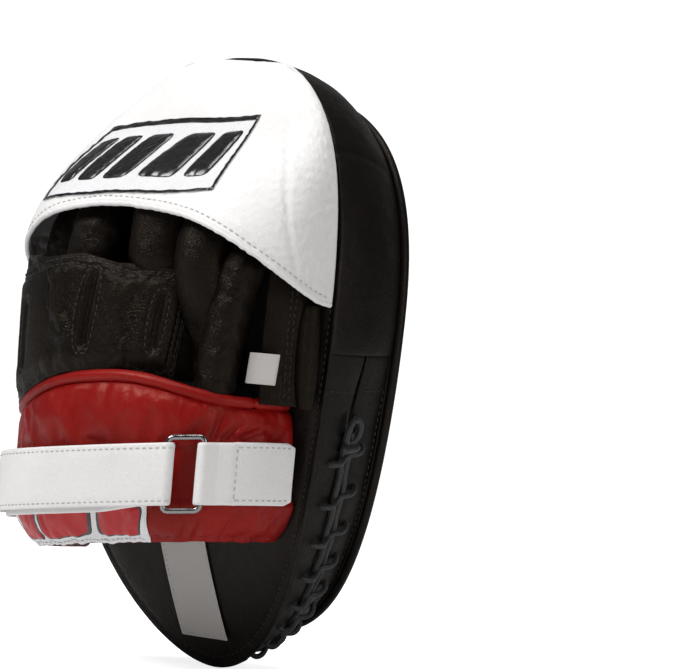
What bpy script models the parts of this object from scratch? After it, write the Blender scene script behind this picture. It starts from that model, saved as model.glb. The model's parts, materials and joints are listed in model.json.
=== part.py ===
"""Focus mitt: a curved boxing pad with a hand pocket, a hood over the fingers and a padded wrist cuff.

The origin is the centre of the target disc on the striking face. +Y points out of the striking face,
+Z points to the fingertips and +X to the thumb. Sizes are metres.
"""

from math import asin, atan2, cos, pi, radians, sin, sqrt

import bmesh
import bpy
from mathutils import Matrix, Vector

MM = 0.001
GAP = 0.4 * MM  # clearance between neighbouring pieces

# Striking pad
PAD_HALF_WIDTH = 86 * MM
PAD_UP = 100 * MM  # from the widest height to the fingertips
PAD_DOWN = 146 * MM  # from the widest height to the wrist
PAD_MIDDLE_Z = 10 * MM  # height where the pad is widest
PAD_POWER_UP = 2.2  # superellipse powers of the outline's two halves
PAD_POWER_DOWN = 1.93
PAD_THICKNESS = 50 * MM
PAD_SEAM = 26 * MM  # depth of the laced seam
PAD_RADIUS = 300 * MM  # the face is hollow, curved about an axis along X
FACE_SET_BACK = 2.8 * MM  # the face lies this far behind the disc's front
LEATHER = 1.9 * MM
OUTLINE_STEPS = 36
DISC_RADIUS = 31.5 * MM

# Wrist cuff, an arch over the rear panel
CUFF_CENTRE_X = -6 * MM
CUFF_HALF_WIDTH = 72 * MM
CUFF_TOP_Y = -109 * MM  # the arch's highest line
CUFF_POWER = 0.76  # under 1 squares the arch's shoulders
CUFF_SLANT = 0.07  # the cuff and strap stand this much higher for each metre towards the thumb
CUFF_TUCK_Z = -78 * MM  # below this the cuff tucks in
CUFF_TUCK = 12 * MM
CUFF_BOTTOM_Z = -97 * MM
CUFF_TOP_END_Z = -33 * MM
CUFF_TOP_RISE = 16 * MM
CUFF_FOAM = 8 * MM
WELT_RADIUS = 2.6 * MM

# Strap and its ring
STRAP_LOW_Z = -76 * MM
STRAP_HIGH_Z = -48 * MM
STRAP = 1.5 * MM
RING_WIRE = 1.3 * MM  # radius
RING_HEIGHT = 35.6 * MM
RING_RIGHT = 43.0  # arch angle, in degrees, of the bar that the short strap holds
RING_LEFT = 58.5  # arch angle of the bar that the long strap goes round
RING_LIFT = 5.0 * MM  # bar centres above the cuff

# Hand pocket
GLOVE_CENTRE_X = -21 * MM
GLOVE_HALF_WIDTH = 58 * MM
GLOVE_DEPTH = 53 * MM
GLOVE_POWER = 0.82
GLOVE_HIGH_Z = 28 * MM
STALL_WALL = 1.8 * MM

# Hood
HOOD_THICKNESS = 2.2 * MM
HOOD_DEPTH = 58 * MM
HOOD_POWER = 0.78
HOOD_CORNER_Z = 13 * MM  # lower corners, on the pad's rim
HOOD_ARCH_RISE = 45 * MM
HOOD_TOP_Z = 121 * MM

BLACK = (0.012, 0.010, 0.009)
RED = (0.43, 0.011, 0.012)
WHITE = (0.84, 0.82, 0.81)
FOAM = (0.20, 0.20, 0.21)

for leftover in list(bpy.data.objects):
    bpy.data.objects.remove(leftover, do_unlink=True)
parts = bpy.data.collections.new("focus_mitt")
cutters = bpy.data.collections.new("cutters")
bpy.context.scene.collection.children.link(parts)
bpy.context.scene.collection.children.link(cutters)


# ---------------------------------------------------------------- surfaces


def signed_power(value, power):
    return abs(value) ** power * (1 if value >= 0 else -1)


def outline(angle, inset=0.0):
    """Point (x, z) of the pad's outline; angle 0 is the thumb side, 90 degrees the fingertips."""
    c, s = cos(angle), sin(angle)
    reach, power = (PAD_UP, PAD_POWER_UP) if s >= 0 else (PAD_DOWN, PAD_POWER_DOWN)
    x = (PAD_HALF_WIDTH - inset) * signed_power(c, 2 / power)
    z = PAD_MIDDLE_Z + (reach - inset) * signed_power(s, 2 / power)
    return x, z


def pad_point(x, z, depth):
    """The point that lies depth behind the curved striking face at (x, z)."""
    slope = asin(z / PAD_RADIUS)
    y = PAD_RADIUS * (1 - cos(slope)) - FACE_SET_BACK
    return Vector((x, y - depth * cos(slope), z + depth * sin(slope)))


def back_y(z, lift=0.0):
    """Y of the rear panel's surface at height z, or of a surface that lies lift above it."""
    radius = PAD_RADIUS + PAD_THICKNESS + lift
    return PAD_RADIUS - FACE_SET_BACK - sqrt(radius * radius - z * z)


def rear_half_width(z):
    """Half the width of the rear panel at height z."""
    flat_z = z / (1 + PAD_THICKNESS / PAD_RADIUS) - PAD_MIDDLE_Z
    reach, power = (PAD_UP, PAD_POWER_UP) if flat_z >= 0 else (PAD_DOWN, PAD_POWER_DOWN)
    return PAD_HALF_WIDTH * max(0.0, 1 - abs(flat_z / reach) ** power) ** (1 / power)


def arch_point(centre_x, half_width, top_y, angle, z, lift, foot_gap=GAP, power=1.0):
    """Point of an arch that stands on the rear panel; angle 0 is the thumb side.

    The arch is an ellipse at power 1, and squarer below it.
    """
    foot_y = back_y(z) - foot_gap
    x = centre_x + (half_width + lift) * signed_power(cos(angle), power)
    return Vector((x, foot_y - (foot_y - top_y + lift) * signed_power(sin(angle), power), z))


def cuff_point(angle, z, lift=0.0):
    tuck = CUFF_TUCK * max(0.0, (CUFF_TUCK_Z - z) / (CUFF_TUCK_Z - CUFF_BOTTOM_Z)) ** 1.5
    half_width = CUFF_HALF_WIDTH - tuck
    slanted_z = z + CUFF_SLANT * (half_width + lift) * signed_power(cos(angle), CUFF_POWER)
    top_y = CUFF_TOP_Y + tuck
    return arch_point(CUFF_CENTRE_X, half_width, top_y, angle, slanted_z, lift, power=CUFF_POWER)


def cuff_top(angle):
    return CUFF_TOP_END_Z + CUFF_TOP_RISE * sin(angle) ** 4


def glove_point(angle, z, lift=0.0):
    top_y = back_y(z) - GLOVE_DEPTH
    return arch_point(GLOVE_CENTRE_X, GLOVE_HALF_WIDTH, top_y, angle, z, lift, 1.9 * MM, GLOVE_POWER)


def glove_low(angle):
    """Height of the glove's lower edge, just above the cuff's welt."""
    x = glove_point(angle, 0).x - CUFF_CENTRE_X
    side = max(0.0, 1 - abs(x / CUFF_HALF_WIDTH) ** (2 / CUFF_POWER))
    return CUFF_TOP_END_Z + CUFF_TOP_RISE * side**2 + CUFF_SLANT * x + 2 * WELT_RADIUS + 1.6 * MM


def smooth(value):
    value = min(1.0, max(0.0, value))
    return value * value * (3 - 2 * value)


def hood_point(angle, z, lift=0.0):
    depth = HOOD_DEPTH * (1 - smooth((z - 35 * MM) / (90 * MM))) + HOOD_THICKNESS + GAP
    half_width = rear_half_width(z) - 1.5 * MM
    return arch_point(0, half_width, back_y(z) - depth, angle, z, lift, power=HOOD_POWER)


def hood_edge(angle):
    return HOOD_CORNER_Z + HOOD_ARCH_RISE * sin(angle) ** 2


def spread(first, last, count):
    """count + 1 evenly spaced values."""
    return [first + (last - first) * i / count for i in range(count + 1)]


def degrees_spread(first, last, count):
    return spread(radians(first), radians(last), count)


# ---------------------------------------------------------------- builders


def material(name, colour, roughness, metallic=0.0):
    made = bpy.data.materials.new(name)
    made.use_nodes = True
    shader = made.node_tree.nodes["Principled BSDF"]
    shader.inputs["Base Color"].default_value = (*colour, 1)
    shader.inputs["Roughness"].default_value = roughness
    shader.inputs["Metallic"].default_value = metallic
    return made


def finish(name, data, colour, roughness=0.5, metallic=0.0, pivot=None):
    """Puts the shape in the mitt's collection, with its origin at pivot."""
    obj = bpy.data.objects.new(name, data)
    obj.data.materials.append(material(name, colour, roughness, metallic))
    parts.objects.link(obj)
    if pivot is not None:
        data.transform(Matrix.Translation(-pivot))
        obj.location = pivot
    return obj


def mesh_from(bm, name):
    bmesh.ops.recalc_face_normals(bm, faces=bm.faces)
    data = bpy.data.meshes.new(name)
    bm.to_mesh(data)
    bm.free()
    data.shade_smooth()
    data.set_sharp_from_angle(angle=radians(40))
    return data


def closed_loft(name, rings, round_trip=False):
    """A closed body through rings of points; round_trip joins the last ring to the first."""
    bm = bmesh.new()
    rows = [[bm.verts.new(point) for point in ring] for ring in rings]
    pairs = list(zip(rows, rows[1:]))
    if round_trip:
        pairs.append((rows[-1], rows[0]))
    for low, high in pairs:
        for i in range(len(low)):
            j = (i + 1) % len(low)
            bm.faces.new((low[i], low[j], high[j], high[i]))
    if not round_trip:
        for row in (rows[0], rows[-1]):
            centre = bm.verts.new(sum((v.co for v in row), Vector()) / len(row))
            for i in range(len(row)):
                bm.faces.new((centre, row[i], row[(i + 1) % len(row)]))
    return mesh_from(bm, name)


def sheet(name, rows_outer, rows_inner):
    """A closed sheet between two grids of points that have the same shape."""
    bm = bmesh.new()
    outer = [[bm.verts.new(point) for point in row] for row in rows_outer]
    inner = [[bm.verts.new(point) for point in row] for row in rows_inner]
    last_row, last_column = len(outer) - 1, len(outer[0]) - 1
    for grid in (outer, inner):
        for r in range(last_row):
            for c in range(last_column):
                bm.faces.new((grid[r][c], grid[r][c + 1], grid[r + 1][c + 1], grid[r + 1][c]))
    for c in range(last_column):
        for r in (0, last_row):
            bm.faces.new((outer[r][c], outer[r][c + 1], inner[r][c + 1], inner[r][c]))
    for r in range(last_row):
        for c in (0, last_column):
            bm.faces.new((outer[r][c], outer[r + 1][c], inner[r + 1][c], inner[r][c]))
    return mesh_from(bm, name)


def arch_sheet(name, point, angles, low, high, rows, lift_in, lift_out):
    """A sheet on an arch surface; low and high are heights, or functions of the arch angle."""

    def height(angle, share):
        first, last = (limit(angle) if callable(limit) else limit for limit in (low, high))
        return first + (last - first) * share

    def grid(lift):
        return [[point(a, height(a, share), lift) for a in angles] for share in spread(0, 1, rows)]

    return sheet(name, grid(lift_out), grid(lift_in))


def pad_ring(inset, depth):
    """Points round the pad, inset from its outline."""
    ring = []
    for i in range(OUTLINE_STEPS):
        x, z = outline(2 * pi * i / OUTLINE_STEPS, inset)
        ring.append(pad_point(x, z, depth))
    return ring


def pad_layer(name, inset, front, back):
    """A slab across the whole pad between two depths."""
    bm = bmesh.new()
    scales = (1, 0.72, 0.4, 0.2)

    def surface(depth):
        rings = []
        for scale in scales:
            ring = []
            for i in range(OUTLINE_STEPS):
                x, z = outline(2 * pi * i / OUTLINE_STEPS, inset)
                ring.append(bm.verts.new(pad_point(x * scale, z * scale, depth)))
            rings.append(ring)
        centre = bm.verts.new(pad_point(0, 0, depth))
        for wide, narrow in zip(rings, rings[1:]):
            for i in range(OUTLINE_STEPS):
                j = (i + 1) % OUTLINE_STEPS
                bm.faces.new((wide[i], wide[j], narrow[j], narrow[i]))
        for i in range(OUTLINE_STEPS):
            bm.faces.new((rings[-1][i], rings[-1][(i + 1) % OUTLINE_STEPS], centre))
        return rings[0]

    rims = surface(front), surface(back)
    for i in range(OUTLINE_STEPS):
        j = (i + 1) % OUTLINE_STEPS
        bm.faces.new((rims[0][i], rims[0][j], rims[1][j], rims[1][i]))
    return mesh_from(bm, name)


def cord(name, points, radius, cyclic=False, resolution=2):
    """A round cord through the points, as a mesh with its caps welded on."""
    data = bpy.data.curves.new(name, "CURVE")
    data.dimensions = "3D"
    data.bevel_depth = radius
    data.bevel_resolution = resolution
    data.use_fill_caps = True
    spline = data.splines.new("POLY")
    spline.points.add(len(points) - 1)
    for target, point in zip(spline.points, points):
        target.co = (*point, 1)
    spline.use_cyclic_u = cyclic
    guide = bpy.data.objects.new(name + "_guide", data)
    cutters.objects.link(guide)
    graph = bpy.context.evaluated_depsgraph_get()
    made = bpy.data.meshes.new_from_object(guide.evaluated_get(graph), depsgraph=graph)
    bpy.data.objects.remove(guide, do_unlink=True)
    bm = bmesh.new()
    bm.from_mesh(made)
    bmesh.ops.remove_doubles(bm, verts=bm.verts, dist=0.01 * MM)
    return mesh_from(bm, name)


def ribbon(name, centreline, thickness, low_z, high_z):
    """A band of even thickness along a centreline of (x, y) points, standing between two heights."""
    left, right = [], []
    last = len(centreline) - 1
    for i, (x, y) in enumerate(centreline):
        before, after = centreline[max(0, i - 1)], centreline[min(last, i + 1)]
        along = Vector((after[0] - before[0], after[1] - before[1])).normalized()
        side = Vector((-along.y, along.x)) * thickness / 2
        left.append((x + side.x, y + side.y))
        right.append((x - side.x, y - side.y))
    return sheet(
        name,
        [[Vector((x, y, z + CUFF_SLANT * x)) for x, y in left] for z in (low_z, high_z)],
        [[Vector((x, y, z + CUFF_SLANT * x)) for x, y in right] for z in (low_z, high_z)],
    )


# ---------------------------------------------------------------- striking pad


def gusset(name, front, back):
    """A side wall round the pad that bulges between two depths."""
    bulge = 2 * MM
    outer = [(inset, depth) for depth, inset in (
        (front, bulge), ((3 * front + back) / 4, 0.4 * MM), ((front + 3 * back) / 4, 0.4 * MM), (back, bulge))]
    profile = outer + [(inset + LEATHER, depth) for inset, depth in reversed(outer)]
    rings = [pad_ring(inset, depth) for inset, depth in profile]
    finish(name, closed_loft(name, rings, round_trip=True), BLACK)


def target_disc():
    """A flat-fronted disc whose back follows the curved face."""
    bm = bmesh.new()
    steps, radii = 48, (DISC_RADIUS, 0.5 * DISC_RADIUS)
    front, back = [], []
    for radius in radii:
        corners = [(radius * cos(2 * pi * i / steps), radius * sin(2 * pi * i / steps)) for i in range(steps)]
        front.append([bm.verts.new((x, 0, z)) for x, z in corners])
        back.append([bm.verts.new((x, pad_point(x, z, 0).y + GAP, z)) for x, z in corners])
    for rings, centre_y in ((front, 0), (back, GAP - FACE_SET_BACK)):
        centre = bm.verts.new((0, centre_y, 0))
        for i in range(steps):
            j = (i + 1) % steps
            bm.faces.new((rings[0][i], rings[0][j], rings[1][j], rings[1][i]))
            bm.faces.new((rings[1][i], rings[1][j], centre))
    for i in range(steps):
        j = (i + 1) % steps
        bm.faces.new((front[0][i], front[0][j], back[0][j], back[0][i]))
    finish("target_disc", mesh_from(bm, "target_disc"), WHITE)


def side_lace():
    """One cord that crosses the seam to and fro round the lower half of the pad."""
    crossings, reach, lift = 41, 7 * MM, -3.4 * MM
    points = []
    for i, angle in enumerate(degrees_spread(-15, -165, crossings - 1)):
        side = 1 if i % 2 else -1
        x, z = outline(angle, lift)
        points.append(pad_point(x, z, PAD_SEAM + side * reach))
    finish("side_lace", cord("side_lace", points, 1.6 * MM), BLACK)


def striking_pad():
    rim = 3.4 * MM
    finish("face_panel", pad_layer("face_panel", rim, 0, LEATHER), BLACK)
    finish("rear_panel", pad_layer("rear_panel", 2.4 * MM, PAD_THICKNESS - LEATHER, PAD_THICKNESS), BLACK)
    gusset("front_gusset", 3.4 * MM, PAD_SEAM - 0.3 * MM)
    gusset("rear_gusset", PAD_SEAM + 0.3 * MM, PAD_THICKNESS - LEATHER - GAP)
    piping = cord("face_piping", pad_ring(1.6 * MM, 1.5 * MM), 1.4 * MM, cyclic=True)
    finish("face_piping", piping, BLACK)
    target_disc()
    side_lace()
    inside = 5 * MM
    layers = (
        ("strike_foam", 2.3, 14, FOAM),
        ("gel_layer", 14.4, 19, (0.55, 0.05, 0.06)),
        ("core_foam", 19.4, 38, FOAM),
        ("backing_foam", 38.4, 47.6, FOAM),
    )
    for name, front, back, colour in layers:
        finish(name, pad_layer(name, inside, front * MM, back * MM), colour, 0.8)


# ---------------------------------------------------------------- wrist cuff


def cuff():
    angles = degrees_spread(0, 180, 24)
    outer_leather, lining = 1.6 * MM, 1.5 * MM
    foam_out = -outer_leather - 0.3 * MM
    foam_in = foam_out - CUFF_FOAM
    layers = (
        ("cuff_shell", -outer_leather, 0, RED),
        ("cuff_foam", foam_in, foam_out, FOAM),
        ("cuff_lining", foam_in - 0.3 * MM - lining, foam_in - 0.3 * MM, BLACK),
    )
    for name, lift_in, lift_out, colour in layers:
        made = arch_sheet(name, cuff_point, angles, CUFF_BOTTOM_Z, cuff_top, 5, lift_in, lift_out)
        finish(name, made, colour)
    rise = WELT_RADIUS + GAP
    path = [cuff_point(a, cuff_top(a) + rise, -WELT_RADIUS) for a in degrees_spread(2, 178, 30)]
    finish("cuff_welt", cord("cuff_welt", path, WELT_RADIUS), RED)
    badge = arch_sheet(
        "cuff_badge", cuff_point, degrees_spread(66, 126, 10), -95 * MM, CUFF_TUCK_Z + 1 * MM, 3, 0.4 * MM, 1.2 * MM
    )
    finish("cuff_badge", badge, WHITE)


def strap_line(first, last, lift, steps=14):
    """Plan points (x, y) above the cuff, at the strap's middle height."""
    middle_z = (STRAP_LOW_Z + STRAP_HIGH_Z) / 2
    return [cuff_point(a, middle_z, lift).xy for a in degrees_spread(first, last, steps)]


def bar_centre(angle):
    return strap_line(angle, angle, RING_LIFT, 1)[0]


def outward(angle):
    """Direction away from the cuff at an arch angle, in plan."""
    return (strap_line(angle, angle, 10 * MM, 1)[0] - strap_line(angle, angle, 0, 1)[0]).normalized()


def wrap(centre, start, turn, steps=8):
    """Half a turn of strap round a bar: from direction start, turning left (1) or right (-1)."""
    radius = RING_WIRE + 0.3 * MM + STRAP / 2
    first = atan2(start.y, start.x)
    return [centre + radius * Vector((cos(a), sin(a))) for a in spread(first, first + turn * pi, steps)]


def ring():
    """A rectangular wire ring in the plane through its two bars."""
    right, left = bar_centre(RING_RIGHT), bar_centre(RING_LEFT)
    half_height = RING_HEIGHT / 2 - RING_WIRE
    half_width = (left - right).length / 2
    corner = 2.5 * MM
    centre = (right + left) / 2
    middle_z = (STRAP_LOW_Z + STRAP_HIGH_Z) / 2 + CUFF_SLANT * centre.x
    across = (right - left).normalized()
    path = []
    for start, sx, sz in ((0, 1, 1), (90, -1, 1), (180, -1, -1), (270, 1, -1)):
        for a in degrees_spread(start, start + 90, 3):
            u = sx * (half_width - corner) + corner * cos(a)
            w = sz * (half_height - corner) + corner * sin(a)
            path.append((*(centre + across * u), middle_z + w))
    made = cord("strap_ring", path, RING_WIRE, cyclic=True, resolution=3)
    finish("strap_ring", made, (0.35, 0.34, 0.34), 0.25, 1.0, Vector((*right, middle_z)))


def strap():
    low, high = STRAP_LOW_Z, STRAP_HIGH_Z
    middle_z = (low + high) / 2
    right, left = bar_centre(RING_RIGHT), bar_centre(RING_LEFT)
    stub = strap_line(5, RING_RIGHT - 4, 1.8 * MM)
    stub += wrap(right, -outward(RING_RIGHT), -1)
    stub += strap_line(RING_RIGHT - 4, 3, 5.0 * MM)
    finish("strap_stub", ribbon("strap_stub", stub, STRAP, low, high), WHITE)
    under = strap_line(RING_LEFT + 5.5, 177, 1.8 * MM, 20)
    finish("strap_under", ribbon("strap_under", under, STRAP, low, high), WHITE)
    inset = 1.5 * MM
    loop = strap_line(82, 170, 3.4 * MM, 16)
    finish("loop_tape", ribbon("loop_tape", loop, 0.9 * MM, low + inset, high - inset), BLACK, 0.9)
    hook = strap_line(98, 160, 4.7 * MM)
    end = wrap(left, -outward(RING_LEFT), 1)
    end += strap_line(RING_LEFT + 6, 165, 6.3 * MM, 20)
    pivot = Vector((*left, middle_z))
    hook_mesh = ribbon("hook_tape", hook, 0.9 * MM, low + inset, high - inset)
    finish("hook_tape", hook_mesh, BLACK, 0.9, pivot=pivot)
    finish("strap_end", ribbon("strap_end", end, STRAP, low, high), WHITE, pivot=pivot)
    ring()


# ---------------------------------------------------------------- hand pocket


def slot_cutter(angle, half_length, half_width, middle_z):
    """A stadium-shaped cutter through the knuckle panel at an arch angle."""
    centre = glove_point(angle, middle_z, 1.5 * MM)
    out = (glove_point(angle, middle_z, 5 * MM) - glove_point(angle, middle_z, 0)).normalized()
    along = Vector((0, 0, 1))
    across = along.cross(out).normalized()
    rings = []
    for depth in (0.35 * MM, 4 * MM):
        ring_points = []
        for side in (1, -1):
            for a in degrees_spread(0, 180, 6):
                u = half_width * cos(a) * side
                w = (half_length - half_width) * side + half_width * sin(a) * side
                ring_points.append(centre + out * depth + across * u + along * w)
        rings.append(ring_points)
    cutter = bpy.data.objects.new("slot_cutter", closed_loft("slot_cutter", rings))
    cutter.display_type = "WIRE"
    cutter.hide_render = True
    cutters.objects.link(cutter)
    return cutter


def knuckle_panel():
    made = arch_sheet(
        "knuckle_panel", glove_point, degrees_spread(42, 135, 14), glove_low, GLOVE_HIGH_Z, 3,
        0.3 * MM, 3.3 * MM,
    )
    panel = finish("knuckle_panel", made, BLACK)
    for angle, half_length in ((120, 15), (86, 21), (56, 16)):
        cut = panel.modifiers.new("slot", "BOOLEAN")
        cut.operation = "DIFFERENCE"
        cut.object = slot_cutter(radians(angle), half_length * MM, 3.2 * MM, 2 * MM)


def stall_ring(x, z, radius, wall, squeeze=1.0):
    """Section of a finger pocket between the pad and the hood or the back of the hand."""
    far_x = x + 0.6 * radius * (1 if x > 0 else -1)
    half_width = rear_half_width(z) - 1.5 * MM - HOOD_THICKNESS
    side = sqrt(max(0.0, 1 - (far_x / half_width) ** 2))
    depth = HOOD_DEPTH * (1 - smooth((z - 35 * MM) / (90 * MM)))
    outer = back_y(z) - depth * side + 1.2 * MM
    outer = max(outer, back_y(z) - GLOVE_DEPTH * 0.92)
    room = back_y(z) - 2.2 * MM - outer
    deep = min(radius, room / 2)
    centre_y = outer + deep
    return [
        Vector((x + (radius - wall) * squeeze * cos(a), centre_y + (deep - wall) * squeeze * sin(a), z))
        for a in spread(0, 2 * pi, 20)[:-1]
    ]


def finger_stall(name, x_low, x_high, z_low, z_high, radius):
    """A leather finger pocket, open at its base and round at its tip."""

    def section(v, wall, squeeze=1.0):
        x = x_low + (x_high - x_low) * v
        z = z_low + (z_high - z_low) * v
        return stall_ring(x, z, radius, wall, squeeze)

    outside = [section(v, 0) for v in (0, 0.25, 0.5, 0.75)]
    outside += [section(0.9, 0, 0.86), section(1.0, 0, 0.5)]
    inside = [section(0.93, STALL_WALL, 0.5), section(0.84, STALL_WALL, 0.86)]
    inside += [section(v, STALL_WALL) for v in (0.7, 0.5, 0.25, 0)]
    finish(name, closed_loft(name, outside[::-1] + inside[::-1]), BLACK)


def hand_pocket():
    angles = degrees_spread(30, 176, 20)
    back = arch_sheet("hand_back", glove_point, angles, glove_low, GLOVE_HIGH_Z, 3, -LEATHER, 0)
    finish("hand_back", back, BLACK)
    liner_out = -LEATHER - 0.3 * MM
    liner = arch_sheet(
        "hand_gel_liner", glove_point, degrees_spread(36, 146, 14), lambda angle: glove_low(angle) + 2.5 * MM,
        GLOVE_HIGH_Z - 2 * MM, 2, liner_out - 3 * MM, liner_out,
    )
    finish("hand_gel_liner", liner, (0.5, 0.04, 0.05))
    knuckle_panel()
    stall_low = GLOVE_HIGH_Z + 1.5 * MM
    finger_stall("little_finger_stall", -58 * MM, -50 * MM, stall_low, 66 * MM, 10.5 * MM)
    finger_stall("ring_finger_stall", -30 * MM, -28 * MM, stall_low, 76 * MM, 13 * MM)
    finger_stall("middle_finger_stall", 10 * MM, 9 * MM, stall_low, 78 * MM, 13 * MM)
    finger_stall("index_finger_stall", 33.5 * MM, 32 * MM, stall_low, 70 * MM, 9.5 * MM)
    finger_stall("thumb_stall", 47 * MM, 57 * MM, -15 * MM, 46 * MM, 9.5 * MM)
    gusset_angles = degrees_spread(14, 30, 4)

    def side_point(angle, z, lift):
        return arch_point(0, 77 * MM, back_y(z) - 40 * MM, angle, z, lift, 1.9 * MM)

    thumb = arch_sheet("thumb_gusset", side_point, gusset_angles, -19 * MM, 24 * MM, 4, -LEATHER, 0)
    finish("thumb_gusset", thumb, BLACK)
    roll = [Vector((77.6 * MM, back_y(z) - 6.4 * MM, z)) for z in spread(-22 * MM, 9 * MM, 8)]
    finish("side_roll", cord("side_roll", roll, 3.6 * MM, resolution=3), BLACK)


def back_sheet(name, centre_x, half_width, low_z, high_z, lift, thickness, colour):
    """A sheet that lies on the rear panel."""
    def grid(height):
        return [[Vector((centre_x + x, back_y(z, height), z)) for x in spread(-half_width, half_width, 4)]
                for z in spread(low_z, high_z, 8)]

    finish(name, sheet(name, grid(lift + thickness), grid(lift)), colour, 0.7)


def palm_side():
    back_sheet("palm_lining", 0, 52 * MM, -75 * MM, 60 * MM, 0.35 * MM, 0.8 * MM, BLACK)
    back_sheet("care_label", 4 * MM, 14 * MM, -143 * MM, -99 * MM, 0.4 * MM, 0.5 * MM, (0.7, 0.69, 0.68))
    centre = Vector((-9 * MM, back_y(8 * MM) - 9 * MM, 8 * MM))
    size = (30 * MM, 7 * MM, 11 * MM)
    bm = bmesh.new()
    bmesh.ops.create_uvsphere(bm, u_segments=20, v_segments=10, radius=1)
    bmesh.ops.transform(bm, matrix=Matrix.Diagonal((*size, 1)), verts=bm.verts)
    bmesh.ops.translate(bm, vec=centre, verts=bm.verts)
    finish("palm_grip", mesh_from(bm, "palm_grip"), BLACK)


def side_tag():
    """A small folded label beside the thumb, above the welt, sewn along its inner edge."""
    pivot = Vector((60 * MM, -79 * MM, -9 * MM))
    tilt = Matrix.Rotation(radians(28), 4, "Z")
    bm = bmesh.new()
    bmesh.ops.create_cube(bm, size=1)
    bmesh.ops.transform(bm, matrix=Matrix.Diagonal((13 * MM, 0.8 * MM, 14 * MM, 1)), verts=bm.verts)
    bmesh.ops.translate(bm, vec=(6.5 * MM, -0.8 * MM, 0), verts=bm.verts)
    bmesh.ops.transform(bm, matrix=Matrix.Translation(pivot) @ tilt, verts=bm.verts)
    finish("side_tag", mesh_from(bm, "side_tag"), WHITE, 0.7, pivot=pivot)


# ---------------------------------------------------------------- hood


def hood():
    angles = degrees_spread(0, 180, 28)
    rows = 8
    made = arch_sheet("hood", hood_point, angles, hood_edge, HOOD_TOP_Z, rows, -HOOD_THICKNESS, 0)
    finish("hood", made, WHITE)
    radius = 1.3 * MM
    path = [hood_point(a, hood_edge(a) - radius - 0.5 * MM, -radius) for a in degrees_spread(1.5, 178.5, 40)]
    finish("hood_binding", cord("hood_binding", path, radius), WHITE)
    patch = arch_sheet(
        "hood_patch", hood_point, degrees_spread(64, 132, 12), 62 * MM, 98 * MM, 5, 0.4 * MM, 1.3 * MM
    )
    finish("hood_patch", patch, WHITE)


striking_pad()
cuff()
strap()
hand_pocket()
palm_side()
side_tag()
hood()
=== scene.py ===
"""Looks of the focus mitt: leather, stitching, lacing, hood, glove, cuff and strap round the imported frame.

+Y points out of the striking face, +Z to the fingertips and +X to the thumb. Sizes are metres.
"""

import json
from math import atan2, cos, pi, radians, sin

import bpy
import numpy as np
from mathutils import Matrix, Vector, noise


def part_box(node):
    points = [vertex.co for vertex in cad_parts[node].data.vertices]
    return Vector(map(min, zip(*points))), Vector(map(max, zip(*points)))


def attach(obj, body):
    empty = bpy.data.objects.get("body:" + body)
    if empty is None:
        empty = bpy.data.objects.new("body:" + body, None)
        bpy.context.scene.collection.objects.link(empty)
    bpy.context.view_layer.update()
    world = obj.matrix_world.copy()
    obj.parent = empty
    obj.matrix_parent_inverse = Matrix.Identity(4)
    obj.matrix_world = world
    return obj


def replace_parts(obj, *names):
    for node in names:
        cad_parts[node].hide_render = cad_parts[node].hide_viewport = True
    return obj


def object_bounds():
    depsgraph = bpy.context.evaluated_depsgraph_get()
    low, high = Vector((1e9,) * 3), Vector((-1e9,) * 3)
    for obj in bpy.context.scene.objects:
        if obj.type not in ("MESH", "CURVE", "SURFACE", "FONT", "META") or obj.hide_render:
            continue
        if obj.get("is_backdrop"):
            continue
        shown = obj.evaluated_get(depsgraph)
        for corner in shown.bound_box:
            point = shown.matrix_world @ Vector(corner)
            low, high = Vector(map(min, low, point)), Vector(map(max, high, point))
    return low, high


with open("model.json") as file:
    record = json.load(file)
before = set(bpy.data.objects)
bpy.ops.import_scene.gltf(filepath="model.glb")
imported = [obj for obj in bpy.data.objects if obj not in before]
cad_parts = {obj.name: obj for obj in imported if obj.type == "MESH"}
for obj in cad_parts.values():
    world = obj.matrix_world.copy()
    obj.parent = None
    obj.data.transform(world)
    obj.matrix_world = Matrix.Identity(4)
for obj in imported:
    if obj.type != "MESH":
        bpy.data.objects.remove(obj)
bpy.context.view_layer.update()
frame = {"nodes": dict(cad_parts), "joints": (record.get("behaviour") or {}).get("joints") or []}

MM = 0.001

# ---- sizes, from the frame

RIM = 3.4 * MM  # how far the face leather lies inside the pad's outline
PAD_MIDDLE_Z = 10 * MM
PAD_POWER_UP, PAD_POWER_DOWN = 2.2, 1.93
PAD_RADIUS = 300 * MM
PAD_THICKNESS = 50 * MM
PAD_SEAM = 26 * MM
FACE_SET_BACK = 2.8 * MM
face_low, face_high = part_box("face_panel")
PAD_HALF_WIDTH = face_high.x + RIM
PAD_UP = face_high.z + RIM - PAD_MIDDLE_Z
PAD_DOWN = PAD_MIDDLE_Z - face_low.z + 4.2 * MM

cuff_low, cuff_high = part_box("cuff_shell")
CUFF_CENTRE_X = -6 * MM
CUFF_HALF_WIDTH = cuff_high.x - CUFF_CENTRE_X
CUFF_TOP_Y = cuff_low.y
CUFF_POWER, CUFF_SLANT = 0.76, 0.12  # the cuff sits a little lower on the little-finger side
CUFF_TUCK, CUFF_TUCK_Z, CUFF_BOTTOM_Z = 12 * MM, -82 * MM, -101 * MM
CUFF_TOP_END_Z, CUFF_TOP_RISE = -42 * MM, 14 * MM
WELT_RADIUS = 2.6 * MM
WALL_FRONT, WALL_BACK, WALL_LEATHER = 3.4 * MM, PAD_THICKNESS - 1.6 * MM, 1.7 * MM
SIDE_SEAM = -6.5  # outline angle, in degrees, where the rounded wall meets the laced one
STRAP_MIDDLE_Z = -70 * MM
STRAP_HALF, STRAP_LEATHER, STRAP_LOOP, TAPE = 14 * MM, 1.6 * MM, 2.5 * MM, 0.9 * MM
RING_ANGLES = 43.0, 58.5  # where the ring's bars lie round the cuff, in degrees
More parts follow.
